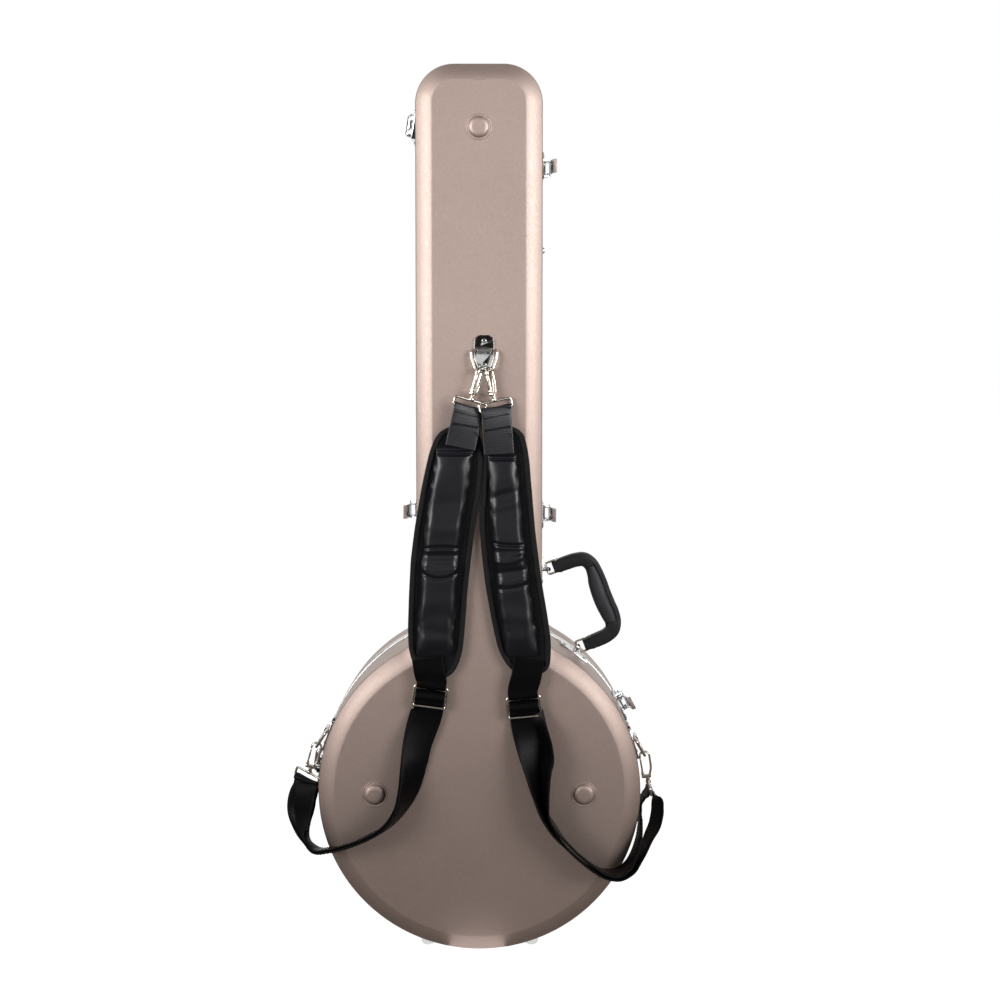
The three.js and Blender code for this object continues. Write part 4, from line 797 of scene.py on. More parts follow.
def panel_of_pad(side):
    """The stuffed panel of a pad: a slab closed to a seam at both ends, then run as cloth and folded."""
    outline = PANEL_SIDES[side]
    z = np.linspace(outline[0][0], outline[-1][0], 62)
    z = np.concatenate([[z[0] + 0.3], z, [z[-1] - 0.3]])
    back, front = PAD_FRONT_Y + PANEL_SUNK, PAD_FRONT_Y - PANEL_CROWN + PANEL_SUNK
    slab = pad_body(outline, z, 0.0, back, front, 32)
    slab[[0, -1], :, 1] = PAD_FRONT_Y + 0.2
    slab[[0, -1], :, 0] = slab[[0, -1], :, 0].mean(1, keepdims=True)
    piece = build(f"pad_{side}_panel", [slab], nylon, "case_back")
    stuff(piece, PANEL_PUSH)
    grow = piece.modifiers.new("round", "SUBSURF")
    grow.levels = grow.render_levels = 2
    bpy.context.view_layer.objects.active = piece
    bpy.ops.object.modifier_apply(modifier="round")
    sculpt_panel(piece, side)
    smooth(piece, None)


def tape_of_pad(side):
    """The tape turned round a pad's edge."""
    edge = pad_perimeter(side, 340)
    run = np.gradient(edge[:-1], axis=0)
    run = np.concatenate([run, run[:1]])
    run /= np.linalg.norm(run, axis=1, keepdims=True)
    depth = (PAD_BACK_Y + PAD_FRONT_Y) / 2 - 0.3
    path = np.stack([edge[:, 0], np.full(len(edge), depth), edge[:, 1]], 1)
    across = np.stack([run[:, 1], np.zeros(len(run)), -run[:, 0]], 1)
    out = np.tile([0.0, -1.0, 0.0], (len(run), 1))
    section = round_section(TAPE_HALF, TAPE_HALF_DEPTH, 20, 0.7)
    grid = carried(path + across * TAPE_OUT, across, out, section)
    piece = build(f"pad_{side}_tape", [grid], tape_cloth, "case_back")
    add_weave(piece, [grid], [cloth_measures(grid)])


nylon, mesh_cloth, tape_cloth = panel_nylon(), spacer_mesh(), knit_tape()
for side in ("left", "right"):
    pad_back = back_of_pad(side)
    panel_of_pad(side)
    tape_of_pad(side)
    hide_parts(f"shoulder_pad_{side}")


# Straps
# Nylon webbing 36 mm wide. Above, each strap is folded over its hook's loop, bartacked twice and sewn on
# the pad. Below, it runs from the slider to the side hook's loop, turns over it and comes back beside itself.
WEB_HALF, WEB_THICK, WEB_ROUND, FOLD_THICK = 18.2, 2.6, 0.35, 1.8
FOLD_TURN, TAB_TURN, HOOK_TURN, SLIDER_RISE = 2.6, 2.4, 2.8, 12.5
FOLD_Y, TAB_Y = -112.8, -109.0
SEAM_INSET, SEAM_START, SEAM_STOP, STITCH_STEP, SEAM_THREAD = 3.4, 34, 22, 4.2, (1.5, 0.4, 0.35)
TOP_LOOPS = {
    "left": ((-12.1, -106.2, 675.3), (0.93, 0.26, -0.27)),
    "right": ((20.8, -106.2, 674.4), (0.95, 0.26, 0.19)),
}
TOP_ENDS = {"left": ((-22.3, 629.6), (0.999, -0.04)), "right": ((24.3, 621.8), (0.995, 0.1))}
SLIDERS = {"left": ((-59.8, -106.0, 324.4), -0.13), "right": ((54.61, -106.0, 312.0), 0.09)}
PAD_TABS = {"left": (-62.8, 372.0), "right": (60.5, 371.0)}
SIDE_LOOPS = {
    "left": ((-216.8, -60.0, 205.8), (0.81, -0.54, -0.23)),
    "right": ((213.2, -60.0, 193.4), (0.0, -1.0, 0.0)),
}
SIDE_OUTWARD = {"left": (-0.55, -0.83, 0.0), "right": (1.0, 0.0, 0.0)}
FOLD_FRONT = [(1.0, 0.6), (0.72, 1.4), (0.5, 2.2), (0.2, 2.4)]
FOLD_BACK = [(0.2, 1.6), (0.36, 0.2), (0.44, -0.8)]
TACKS, TACK_SPREAD, TACK_LIFT, TACK_THREAD = 23, 0.84, 3.0, (0.42, 0.75)
TACK_ROWS = [(0.15, 1.4), (0.43, 2.1)]
SLIDER_TURN = [
    (7.0, 2.6), (6.0, -0.4), (3.2, -3.2), (0.0, -4.3), (-3.6, -3.4), (-7.4, -0.6), (-11.5, 2.5), (-16.5, 3.2),
]
LOWER_ROUTES = {
    "left": [
        (-75, -107, 266, 20), (-79, -110, 240, 36), (-85, -113, 210, 52), (-94, -116, 188, 66),
        (-112, -118, 166, 74), (-136, -118, 152, 76), (-157, -118, 143, 72), (-178, -114, 136, 72),
        (-196, -106, 133, 78), (-209, -96, 138, 74), (-216.5, -86, 151, 63), (-219.5, -78, 168, 52),
        (-219, -70, 187, 40),
    ],
    "right": [
        (62, -107, 264, 24), (68, -111, 238, 42), (73, -114, 212, 58), (78, -117, 188, 74),
        (88, -118, 164, 90), (102, -118, 146, 100), (120, -118, 128, 103), (137, -118, 115, 102),
        (153, -117, 107, 98), (168, -113, 105, 92), (183, -106, 110, 88), (196, -97, 122, 90),
        (209, -84, 140, 88), (219, -73, 157, 80), (222.5, -65, 173, 75), (221.5, -61, 186, 76),
    ],
}
RETURNS = {
    "left": [
        (-218.5, -54.5, 195, -24), (-223.5, -52.5, 183, -8), (-225, -55, 170, -6),
        (-221.5, -64, 157, -28), (-214.5, -79, 146, -54), (-206.6, -95.3, 139.9, -74),
        (-195.7, -105.7, 136.1, -78), (-178.6, -113.5, 139, -72), (-158, -117.3, 145.8, -72),
        (-137.4, -117.5, 154.7, -76), (-114, -117.6, 168.3, -74), (-96.5, -114.8, 189.4, -66),
        (-87.4, -111.1, 210.5, -52), (-80.8, -107.5, 240.1, -36), (-76.1, -104.1, 265.8, -20),
        (-70, -101.2, 290, -6), (-66, -100.2, 303, 0),
    ],
    "right": [
        (206.5, -60, 188, 86), (201.5, -62, 180, 88), (199.8, -68, 168, 90), (199.5, -76, 157, 90),
        (196.5, -87, 141, 90), (189.5, -98, 126, 88), (180, -107, 114.5, 90), (167, -114, 109, 86),
        (153, -117.5, 111, 80), (139, -118, 119, 77), (122.5, -118, 132, 77), (106, -118, 149, 79),
        (93.5, -118, 165, 86), (84, -116.5, 180, 84), (78.5, -114.5, 198, 70), (76.5, -112, 222, 60),
        (77.5, -110, 237, 57), (80, -108, 249, 56), (79.5, -106.5, 260, 56), (73, -104.5, 280, 48),
        (66, -103, 292, 28), (61, -102.4, 302, 8),
    ],
}


def eased_line(stations, steps):
    """A cubic through rows of numbers, close together or far apart: on a step of length d from b to c, with
    slopes m and n, it is (2t^3 - 3t^2 + 1)b + (t^3 - 2t^2 + t)dm + (3t^2 - 2t^3)c + (t^3 - t^2)dn."""
    rows = np.asarray(stations, float)
    length = np.maximum(np.linalg.norm(np.diff(rows[:, :3], axis=0), axis=1), 1e-6)[:, None]
    slope = np.diff(rows, axis=0) / length
    inner = (slope[:-1] * length[1:] + slope[1:] * length[:-1]) / (length[:-1] + length[1:])
    slopes = np.concatenate([slope[:1], inner, slope[-1:]])[:, None]
    t = np.linspace(0, 1, steps, endpoint=False)[None, :, None]
    b, c, m, n, d = rows[:-1, None], rows[1:, None], slopes[:-1], slopes[1:], length[:, None]
    line = (2 * t**3 - 3 * t**2 + 1) * b + (t**3 - 2 * t**2 + t) * d * m
    line = line + (3 * t**2 - 2 * t**3) * c + (t**3 - t**2) * d * n
    return np.concatenate([line.reshape(-1, rows.shape[1]), rows[-1:]])


def unit(v):
    """Vectors brought to length one."""
    return v / np.maximum(np.linalg.norm(v, axis=-1, keepdims=True), 1e-9)


def across_of(route):
    """Points and width directions at each station: across the strap on the face, turned towards the depth."""
    points = np.array([station[:3] for station in route], float)
    turn = np.radians([station[3] for station in route])[:, None]
    run = unit(np.gradient(points, axis=0))
    flat = unit(np.cross(run, [0.0, 1.0, 0.0]))
    return points, flat * np.cos(turn) + np.array([0.0, 1.0, 0.0]) * np.sin(turn)


def ribbon(points, across, half=WEB_HALF, thick=WEB_THICK, steps=6, narrow=None):
    """A band through the points, a flat rounded box in section, with its cloth measures and its axes."""
    across = np.array(across, float)
    for k in range(1, len(across)):
        if across[k] @ across[k - 1] < 0:
            across[k] = -across[k]
    line = eased_line(np.concatenate([np.asarray(points, float), across], 1), steps)
    path, wide = line[:, :3], line[:, 3:]
    run = unit(np.gradient(path, axis=0))
    wide = unit(wide - run * (wide * run).sum(1, keepdims=True))
    out = np.cross(run, wide)
    section = round_section(1.0, thick / 2, 24, WEB_ROUND)
    halves = np.full(len(path), half)
    if narrow:
        halves = np.interp(np.linspace(0, 1, len(path)), narrow[0], narrow[1])
    grid = carried(path, wide * halves[:, None], out, section)
    along = np.concatenate([[0], np.cumsum(np.linalg.norm(np.diff(path, axis=0), axis=1))])
    sides = section[None, :, 0] * halves[:, None]
    measure = np.stack([np.broadcast_to(along[:, None], sides.shape), sides], -1) / 1000
    return grid, measure, (path, wide, out)


def over_bar(centre, up, out, radius, start, end, count=7):
    """Points of a band that turns over a bar, from start to end in radians about it."""
    turn = np.linspace(start, end, count)[:, None]
    return np.asarray(centre) + radius * (np.cos(turn) * np.asarray(out) + np.sin(turn) * np.asarray(up))


def stitches(points, across, out, size):
    """Short threads that lie along a row of points: half ovals sunk into the cloth."""
    turn = np.linspace(0, 2 * math.pi, 9)[None, :, None]
    share = np.linspace(-1, 1, 7)
    thin = np.sqrt(np.maximum(1 - share**2, 0.0))
    length, half, rise = size
    grids = []
    for point, wide, up in zip(points, across, out):
        side = unit(np.cross(wide, up))
        ring = thin[:, None, None] * (half * np.cos(turn) * side + rise * np.sin(turn) * up)
        grids.append(point + (share * length)[:, None, None] * wide + ring)
    return grids


def black_webbing(name, low, high, gloss):
    """Black nylon webbing: a rib every two millimetres across the band and close warp threads along it."""
    made, shader = material_of(name, {"Roughness": 0.38, "Specular IOR Level": gloss})
    rib, warp = threads(made, 160.0, 0.3, 2.0, 1.5, "X"), threads(made, 420.0, 0.2, 1.0, 2.0, "Y")
    on_cloth(made, rib, warp)
    cloud = node(made, "ShaderNodeTexNoise", {"Scale": 30.0, "Detail": 3.0})
    on_object(made, cloud)
    tone = ramp_between(made, rib.outputs["Fac"], [(0.1, low), (0.9, high)])
    worn = [(0.35, (0.8, 0.8, 0.8)), (0.75, (1.25, 1.25, 1.25))]
    tinted(made, shader, tone, ramp_between(made, cloud.outputs["Fac"], worn))
    bumped(made, shader, rib.outputs["Fac"], 0.3, 0.0004)
    bumped(made, shader, warp.outputs["Fac"], 0.06, 0.0002)
    return made


def band_piece(name, bands, rows, cloth, replaced=None):
    """One object from ribbons and one from the stitches in it; the weave follows the ribbons."""
    grids = [band[0] for band in bands]
    piece = build(name, grids, cloth, "case_back")
    add_weave(piece, grids, [band[1] for band in bands])
    if replaced:
        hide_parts(replaced)
    if rows:
        thread = build(f"{name}_thread", rows, thread_cloth, "case_back")


def sewing_thread():
    """Bonded black thread with a slight gloss and a twist along it."""
    made, shader = material_of("black_thread", {"Roughness": 0.55, "Specular IOR Level": 0.15})
    twist = node(made, "ShaderNodeTexNoise", {"Scale": 900.0, "Detail": 2.0})
    on_object(made, twist)
    black = [(0.3, (0.0010, 0.0010, 0.0014)), (0.7, (0.0040, 0.0040, 0.0050))]
    link(made, ramp_between(made, twist.outputs["Fac"], black), shader.inputs["Base Color"])
    bumped(made, shader, twist.outputs["Fac"], 0.4, 0.0003)
    return made


def top_strap(side):
    """The fold over the top hook's loop, with its two crossed rows of bartacks and a second layer below."""
    loop, bar_along = (np.array(v, float) for v in TOP_LOOPS[side])
    (end_x, end_z), end_lean = TOP_ENDS[side]
    end_across = np.array([end_lean[0], 0, end_lean[1]])
    lie = np.array([end_x, FOLD_Y, end_z])
    up = unit(loop - lie)
    turn_over = over_bar(loop, up, front, FOLD_TURN, 0.0, math.pi, 5)
    span = lie - loop
    down_front = [loop + span * t + front * lift for t, lift in FOLD_FRONT]
    down_back = [loop + span * t + back * lift for t, lift in FOLD_BACK]
    points = np.concatenate([down_front, turn_over, down_back])
    blend = np.array([0, 0.28, 0.5, 0.8] + [1] * 5 + [0.8, 0.64, 0.56])[:, None]
    across = unit(end_across * (1 - blend) + bar_along * blend)
    band = ribbon(points, across, thick=FOLD_THICK, steps=7)
    rows = []
    for share, tall in TACK_ROWS:
        middle = loop + span * share + front * TACK_LIFT
        at_across = unit(end_across * share + bar_along * (1 - share))
        for slant, shift in ((0.3, 0.0), (-0.3, 0.5)):
            spread = np.linspace(-1, 1, TACKS) + shift / 11
            places = [middle + at_across * (WEB_HALF * TACK_SPREAD * t) for t in spread]
            along = [unit(up + at_across * slant)] * TACKS
            rows += stitches(places, along, [front] * TACKS, (tall, *TACK_THREAD))
    ends = [lie + [0, 2.0, -1], loop + span * 0.55 + [0, -1.0, 0]]
    under = ribbon(ends, [end_across, end_across], thick=FOLD_THICK, steps=4)
    # The fold and its second layer use the lit copy of the webbing, whose brighter tone and extra gloss are
    # painted light.
    band_piece(f"strap_top_{side}", [band, under], rows, lit_copy_webbing)


def pad_tab(side, centre, bar_dir, rise):
    """The short band from the pad's foot, folded over the slider's upper bar."""
    tab_x, tab_z = PAD_TABS[side]
    high = centre + rise * SLIDER_RISE
    tab = np.array([tab_x, TAB_Y, tab_z])
    before = [tab, tab * 0.55 + high * 0.45 + front * 1.8, high + rise * 6 + front * 2.4]
    after = [high + rise * 7 + back * 1.6, tab * 0.5 + high * 0.5 + back * 0.4]
    points = np.concatenate([before, over_bar(high, -rise, front, TAB_TURN, 0.0, math.pi, 5), after])
    across = unit(np.array([[1, 0, 0.0]] * 2 + [bar_dir] * 6 + [bar_dir, [1, 0, 0]]))
    band = ribbon(points, across, thick=FOLD_THICK, steps=6, narrow=([0, 0.3, 1], [18.6, 18.0, 17.2]))
    band_piece(f"strap_tab_{side}", [band], [], shaded_copy_webbing)


def lower_strap(side, centre, bar_dir, rise):
    """Webbing from the slider's middle bar to the side hook and back, with a seam along each edge."""
    start = [centre + rise * v + back * d for v, d in SLIDER_TURN]
    route, route_across = across_of(LOWER_ROUTES[side])
    hook, hook_along = (np.array(v, float) for v in SIDE_LOOPS[side])
    outward = np.array(SIDE_OUTWARD[side])
    ending = over_bar(hook, [0, 0, 1.0], outward, HOOK_TURN, -0.2, math.pi + 0.2)
    back_route, back_across = across_of(RETURNS[side])
    points = np.concatenate([start, route, ending, back_route])
    across = np.concatenate([[bar_dir] * len(start), route_across, [hook_along] * len(ending), back_across])
    band = ribbon(points, across, steps=7)
    path, wide, out = band[2]
    step = np.concatenate([[0], np.cumsum(np.linalg.norm(np.diff(path, axis=0), axis=1))])
    places = np.arange(SEAM_START, step[-1] - SEAM_STOP, STITCH_STEP)
    seam, seam_across, seam_out = (
        np.stack([np.interp(places, step, values[:, k]) for k in range(3)], 1) for values in (path, wide, out)
    )
    seam_across, seam_out = unit(seam_across), unit(seam_out)
    rows = []
    for edge in (-1, 1):
        for face in (-1, 1):
            spots = seam + seam_across * edge * (WEB_HALF - SEAM_INSET)
            spots = spots + seam_out * face * (WEB_THICK / 2 + 0.05)
            rows += stitches(spots, unit(np.gradient(seam, axis=0)), seam_out * face, SEAM_THREAD)
    band_piece(f"strap_lower_{side}", [band], rows, shaded_copy_webbing, f"lower_strap_{side}")


# One webbing material built twice. The lit copy has painted light: a brighter tone and more gloss for the
# folds at the top. The shaded copy has painted shade: a darker tone and less gloss for the pad tabs and the
# lower straps.
shaded_copy_webbing = black_webbing("black_webbing", (0.0006, 0.0006, 0.0008), (0.0022, 0.0021, 0.0026), 0.1)
lit_copy_webbing = black_webbing("webbing_painted_light", (0.005, 0.0048, 0.007), (0.018, 0.017, 0.022), 0.5)
thread_cloth = sewing_thread()
front, back = np.array([0.0, -1.0, 0.0]), np.array([0.0, 1.0, 0.0])
for side in ("left", "right"):
    top_strap(side)
    slide, lean = SLIDERS[side]
    bar_dir = np.array([math.cos(lean), 0, math.sin(lean)])
    rise = np.array([-math.sin(lean), 0, math.cos(lean)])
    pad_tab(side, np.array(slide), bar_dir, rise)
    lower_strap(side, np.array(slide), bar_dir, rise)


# Rings, hooks and sliders
# Bent steel wire and small castings with warm nickel on them: D-rings in the plates, snap hooks with a sprung
# gate and a swivel, wire loops that carry the webbing, and the sliders of the lower straps.
RING_WIRE, RING_HALF, RING_DROP = 1.7, 15.6, 25.0
RING_SHAPE = [
    (-0.83, 0), (0.83, 0), (1, -0.07), (1, -0.2), (0.83, -0.6), (0.62, -0.92), (0.42, -1), (-0.42, -1),
    (-0.62, -0.92), (-0.83, -0.6), (-1, -0.2), (-1, -0.07),
]
RING_PLACES = {
    "strap_fitting_neck_ring": ((6.2, -101.2, 745.0), (1, 0, 0), (0, 0.199, 0.98)),
    "strap_fitting_right_ring": ((193.94, -60.0, 261.7), (0, 1, 0), (-0.489, 0, 0.872)),
    "strap_fitting_left_ring": ((-190.38, -60.0, 272.07), (0, -1, 0), (0.535, 0, 0.844)),
}
HOOK_WIRE, HOOK_HALF, HOOK_DROP, HOOK_LIFT = 1.4, 6.0, 25.5, 3.4
HOOK_LOOP, GATE_FOOT = (20.5, -47.0, -36.5, 3.0), (-5.4, -24.4)
HOOK_PLACES = {
    "top_left": ((0.9, -106.17, 720.5), -0.28, 1.05, 0.781),
    "top_right": ((11.5, -106.17, 720.5), 0.2, 1.05, 0.781),
    "side_left": ((-203.77, -60.0, 250.96), -0.28, 0.0, 1.0),
    "side_right": ((206.17, -60.0, 239.89), 0.15, 0.0, 0.0),
}
GATE_LINE = [(0, 0, 0), (-0.2, 8, 0), (-0.4, 19.0, 0)]
SLIDER_SHAPE, SLIDER_BAR_HALF = (20.3, -SLIDER_RISE, SLIDER_RISE, 3.0), 19.8
LOOP_WIRE, GATE_WIRE = 1.5, 1.2


def frame_of(across, up):
    """Axes as rows, from a part's width and its upward direction."""
    across, up = np.asarray(across, float), np.asarray(up, float)
    return np.stack([across, up, np.cross(across, up)])


def leaned(lean, twist=0.0):
    """Axes as rows of a part that hangs on the back: leaned to its right and twisted about its length."""
    c, s, d, t = math.cos(lean), math.sin(lean), math.cos(twist), math.sin(twist)
    return np.array([[c * d, t, s * d], [-s, 0, c], [c * t, -d, s * t]])


def wire(path, normal, radius, closed=False, sides=14, broad=1.0):
    """A wire bent in a plane with normal N: P + r (w cos a N + sin a T x N), broad by w. An open one has
    round ends."""
    path, normal = np.asarray(path, float), np.asarray(normal, float)
    if closed:
        path = np.concatenate([path, path[:1]])
        ahead = np.concatenate([path[1:], path[1:2]])
        behind = np.concatenate([path[-2:-1], path[:-1]])
        run, size = unit(ahead - behind), np.ones(len(path))
    else:
        run = unit(np.gradient(path, axis=0))
        turn = np.linspace(0, math.pi / 2, 5)[:, None]
        start = path[0] - run[0] * radius * np.sin(turn[:0:-1])
        end = path[-1] + run[-1] * radius * np.sin(turn[1:])
        size = np.concatenate([np.cos(turn[:0:-1, 0]), np.ones(len(path)), np.cos(turn[1:, 0])])
        path = np.concatenate([start, path, end])
        run = np.concatenate([np.repeat(run[:1], 4, 0), run, np.repeat(run[-1:], 4, 0)])
    around = np.linspace(0, 2 * math.pi, sides + 1)[None, :, None]
    ring = broad * np.cos(around) * normal + np.sin(around) * np.cross(run, normal)[:, None]
    return path[:, None] + radius * size[:, None, None] * ring


def round_loop(half, low, high, corner, steps=7):
    """Points of an upright rectangle with round corners, in local X and Y."""
    side, top, foot = half - corner, high - corner, low + corner
    bends = []
    for quarter, (x, y) in enumerate(((side, top), (-side, top), (-side, foot), (side, foot))):
        turn = np.linspace(quarter, quarter + 1, steps) * math.pi / 2
        bends.append(np.stack([x + corner * np.cos(turn), y + corner * np.sin(turn), 0 * turn], 1))
    return np.concatenate(bends)


def lozenge(low, high, power=0.45):
    """A casting with round edges between two corners: a ball whose cosines and sines are raised to a power
    below one."""
    low, high = np.array(low, float), np.array(high, float)
    rise = np.linspace(-math.pi / 2, math.pi / 2, 15)[:, None]
    turn = np.linspace(0, 2 * math.pi, 25)[None, :]
    level, height = swollen(np.cos(rise), power), swollen(np.sin(rise), power)
    x, y, z = level * swollen(np.cos(turn), power), height + 0 * turn, level * swollen(np.sin(turn), power)
    return (low + high) / 2 + np.stack([x, y, z], -1) * (high - low) / 2


def nickel_piece(name, grids, origin, axes):
    """One nickel-plated piece from grids in its own frame, in the place of the solid with that name."""
    placed = [grid @ axes + np.array(origin, float) for grid in grids]
    piece = build(f"{name}_smooth", placed, nickel, body_of[name], 40)
    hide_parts(name)


def hook_grids(swivel):
    """The bent frame over the ring, the casting below it, the swivel's post and head, and the wire loop."""
    turn = np.linspace(math.pi, 0, 17)
    bow_y = HOOK_LIFT - HOOK_HALF
    over = np.stack([HOOK_HALF * np.cos(turn), bow_y + HOOK_HALF * np.sin(turn), 0 * turn], 1)
    down = [(1, -0.35), (1, -0.627), (0.9, -0.77), (0.767, -0.863), (0.533, -1.039)]
    shank = [(HOOK_HALF * x, HOOK_DROP * y, 0) for x, y in down]
    run = np.concatenate([[(-HOOK_HALF, bow_y - 1, 0)], over, shank])
    post = [
        (0, 0.0), (3.4, 0.0), (3.5, 0.9), (2.3, 1.5), (2.2, 4.2), (3.3, 4.8), (3.6, 6.0), (3.3, 7.4),
        (2.2, 8.4), (0, 8.8),
    ]
    s, c = math.sin(swivel), math.cos(swivel)
    loop = round_loop(*HOOK_LOOP) @ np.array([[s, 0, c], [0, 1, 0], [0, 0, 0]])
    block = lozenge((-7.4, -30.0, -3.0), (4.8, -25.5, 3.0))
    frame_wire = wire(run, (0, 0, 1), HOOK_WIRE, broad=2.0)
    head = turned(post, (0, -29.2, 0), (0, -1, 0), 24)
    return [frame_wire, block, head, wire(loop, (c, 0, -s), LOOP_WIRE, True)]


nickel = plated("warm_nickel", (0.56, 0.52, 0.46), (0.66, 0.62, 0.55), (0.12, 0.26))
for name, (origin, across, up) in RING_PLACES.items():
    closed = [(x * RING_HALF, y * RING_DROP, 0) for x, y in RING_SHAPE]
    bent = eased_line(closed[-2:] + closed + closed[:3], 5)[10:70]
    nickel_piece(name, [wire(bent, (0, 0, 1), RING_WIRE, True)], origin, frame_of(across, up))
for name, (origin, lean, twist, swivel) in HOOK_PLACES.items():
    axes = leaned(lean, twist)
    nickel_piece(f"hook_{name}", hook_grids(swivel), origin, axes)
    gate_wire = wire(GATE_LINE, (0, 0, 1), GATE_WIRE, broad=2.0)
    foot = lozenge((-2.0, -2.0, -3.0), (2.0, 2.0, 3.0), 0.5)
    place = np.array(origin) + np.array([*GATE_FOOT, 0]) @ axes
    nickel_piece(f"hook_{name}_gate", [gate_wire, foot], place, axes)
for name, (origin, lean) in SLIDERS.items():
    outer_bar = wire(round_loop(*SLIDER_SHAPE), (0, 0, 1), LOOP_WIRE, True)
    middle_bar = wire([(x * SLIDER_BAR_HALF, 0, 0) for x in (-1, 0, 1)], (0, 0, 1), LOOP_WIRE)
    nickel_piece(f"slider_{name}", [outer_bar, middle_bar], origin, leaned(lean))


# Carrying handle
# A thick moulded strap bent into a bow, with a padded sleeve round its middle: grained black leather cloth,
# a welt beside the sleeve and a rivet through each end. Two wire rings hold it in their brackets.
HANDLE_TOP, HANDLE_DOWN, HANDLE_OUT = (85.0, -25.0, 467.5), (0.3603, 0, -0.9328), (0.9328, 0, 0.3603)
HANDLE_CHORD, HANDLE_REACH, LEG_HALF, STRAP_DEEP, STRAP_UNDER_SLEEVE = 107.5, 54.0, 8.5, 8.9, 1.2
HANDLE_SHAPE = [
    (0.01, 0.15, 0.8), (0.01, 0.3, 0.95), (0.012, 0.5, 1), (0.02, 0.72, 1), (0.05, 0.9, 1.02),
    (0.13, 1, 1.08), (0.24, 1.02, 1.2), (0.36, 1, 1.4), (0.5, 0.985, 1.45), (0.64, 0.99, 1.45),
    (0.77, 1.01, 1.38), (0.87, 1, 1.2), (0.95, 0.92, 1.06), (0.985, 0.78, 1), (0.998, 0.56, 1),
    (1, 0.36, 0.95), (1, 0.17, 0.8),
]
SLEEVE_START, SLEEVE_END, SLEEVE_DEEP, STRAP_BACK = 0.315, 0.685, 9.4, 8.6
SLEEVE_LAP, WELT_LAP, WELT_DEPTH, WELT_RADIUS = 3.4, 4.2, 8.1, 0.75
SLEEVE_BULGE = ([0, 0.03, 0.12, 0.5, 0.88, 0.97, 1], [0.9, 0.98, 1.02, 1.3, 1.02, 0.98, 0.9])
RIVET_SHAPE = [(0, 1.6), (1.2, 1.4), (2.1, 0.7), (2.4, -0.6), (0, -0.6)]
RING_BOW, RING_CLOSED = (7.5, 0.0, 14.0, 2.5), 1.5


def handle_lines():
    """The bow's outer and inner edges, in the plane of the chord (first) and the way out (second)."""
    rows = np.array([(a * HANDLE_CHORD, o * HANDLE_REACH, h * LEG_HALF) for a, o, h in HANDLE_SHAPE])
    line = eased_line(rows, 9)
    run = unit(np.gradient(line[:, :2], axis=0))
    outward = np.stack([-run[:, 1], run[:, 0]], 1)
    return line[:, :2] + outward * line[:, 2:], line[:, :2] - outward * line[:, 2:]


def handle_points(flat, depth):
    """Points of the chord's plane, moved in depth, as points of the case."""
    along, out = flat[..., :1] * np.array(HANDLE_DOWN), flat[..., 1:] * np.array(HANDLE_OUT)
    return np.array(HANDLE_TOP) + along + out + depth[..., None] * np.array([0.0, 1, 0])


def bow_grid(outer, inner, deep, power, sides=32):
    """A bow between an outer and an inner edge: each section is a rounded box, and both ends close softly."""
    section = round_section(1.0, 1.0, sides, power)
    middle, half = (outer + inner) / 2, (outer - inner) / 2
    flat = middle[:, None] + section[None, :, :1] * half[:, None]
    depth = section[None, :, 1] * deep[:, None]
    grid = handle_points(flat, depth)
    ends = [np.repeat(grid[k].mean(0, keepdims=True), grid.shape[1], 0)[None] for k in (0, -1)]
    first = [ends[0] * (1 - t) + grid[:1] * t for t in (0.0, 0.75, 0.93)]
    last = [ends[1] * (1 - t) + grid[-1:] * t for t in (0.93, 0.75, 0.0)]
    return np.concatenate([*first, grid, *last])


def grained_leather(name, deep, pale, scale):
    """Black leather cloth: a fine pebble grain that catches the light, a little polish where it is rubbed."""
    made, shader = material_of(name, {"Specular IOR Level": 0.4})
    pebble = node(made, "ShaderNodeTexVoronoi", {"Scale": scale, "Randomness": 0.9})
    cloud = node(made, "ShaderNodeTexNoise", {"Scale": 45.0, "Detail": 3.0})
    on_object(made, pebble, cloud)
    tone = ramp_between(made, cloud.outputs["Fac"], [(0.3, deep), (0.7, pale)])
    link(made, tone, shader.inputs["Base Color"])
    roughened(made, shader, cloud.outputs["Fac"], (0.3, 0.7), (0.5, 0.66))
    bumped(made, shader, pebble.outputs["Distance"], 0.35, 0.0004)
    return made


strap_leather = grained_leather("handle_leather", (0.0028, 0.0026, 0.003), (0.006, 0.0056, 0.0065), 900.0)
sleeve_leather = grained_leather("sleeve_leather", (0.017, 0.017, 0.021), (0.030, 0.030, 0.037), 700.0)
outer, inner = handle_lines()
into = unit(inner - outer)
share = np.linspace(0, 1, len(outer))
held = (share >= SLEEVE_START) & (share <= SLEEVE_END)
sleeved = np.clip(np.minimum(share - SLEEVE_START, SLEEVE_END - share) / 0.012, 0, 1)[:, None]
strap_inner = inner * (1 - sleeved) + (outer + into * STRAP_BACK) * sleeved
strap_deep = np.full(len(outer), STRAP_DEEP) - STRAP_UNDER_SLEEVE * sleeved[:, 0]
strap = bow_grid(outer, strap_inner, strap_deep, 0.42)
grip = build("handle_strap", [strap], strap_leather, "handle", 60)
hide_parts("handle_grip")

bulge = np.interp(np.linspace(0, 1, held.sum()), *SLEEVE_BULGE)
sleeve = bow_grid((outer + into * (STRAP_BACK - SLEEVE_LAP))[held], inner[held], SLEEVE_DEEP * bulge, 0.8)
padded = build("handle_sleeve", [sleeve], sleeve_leather, "handle", 60)

welt_line = (outer + into * (STRAP_BACK - WELT_LAP))[held]
welt_paths = [handle_points(welt_line, np.full(held.sum(), depth)) for depth in (-WELT_DEPTH, WELT_DEPTH)]
welt_grids = [wire(path, HANDLE_OUT, WELT_RADIUS) for path in welt_paths]
welts = build("handle_welts", welt_grids, sleeve_leather, "handle")

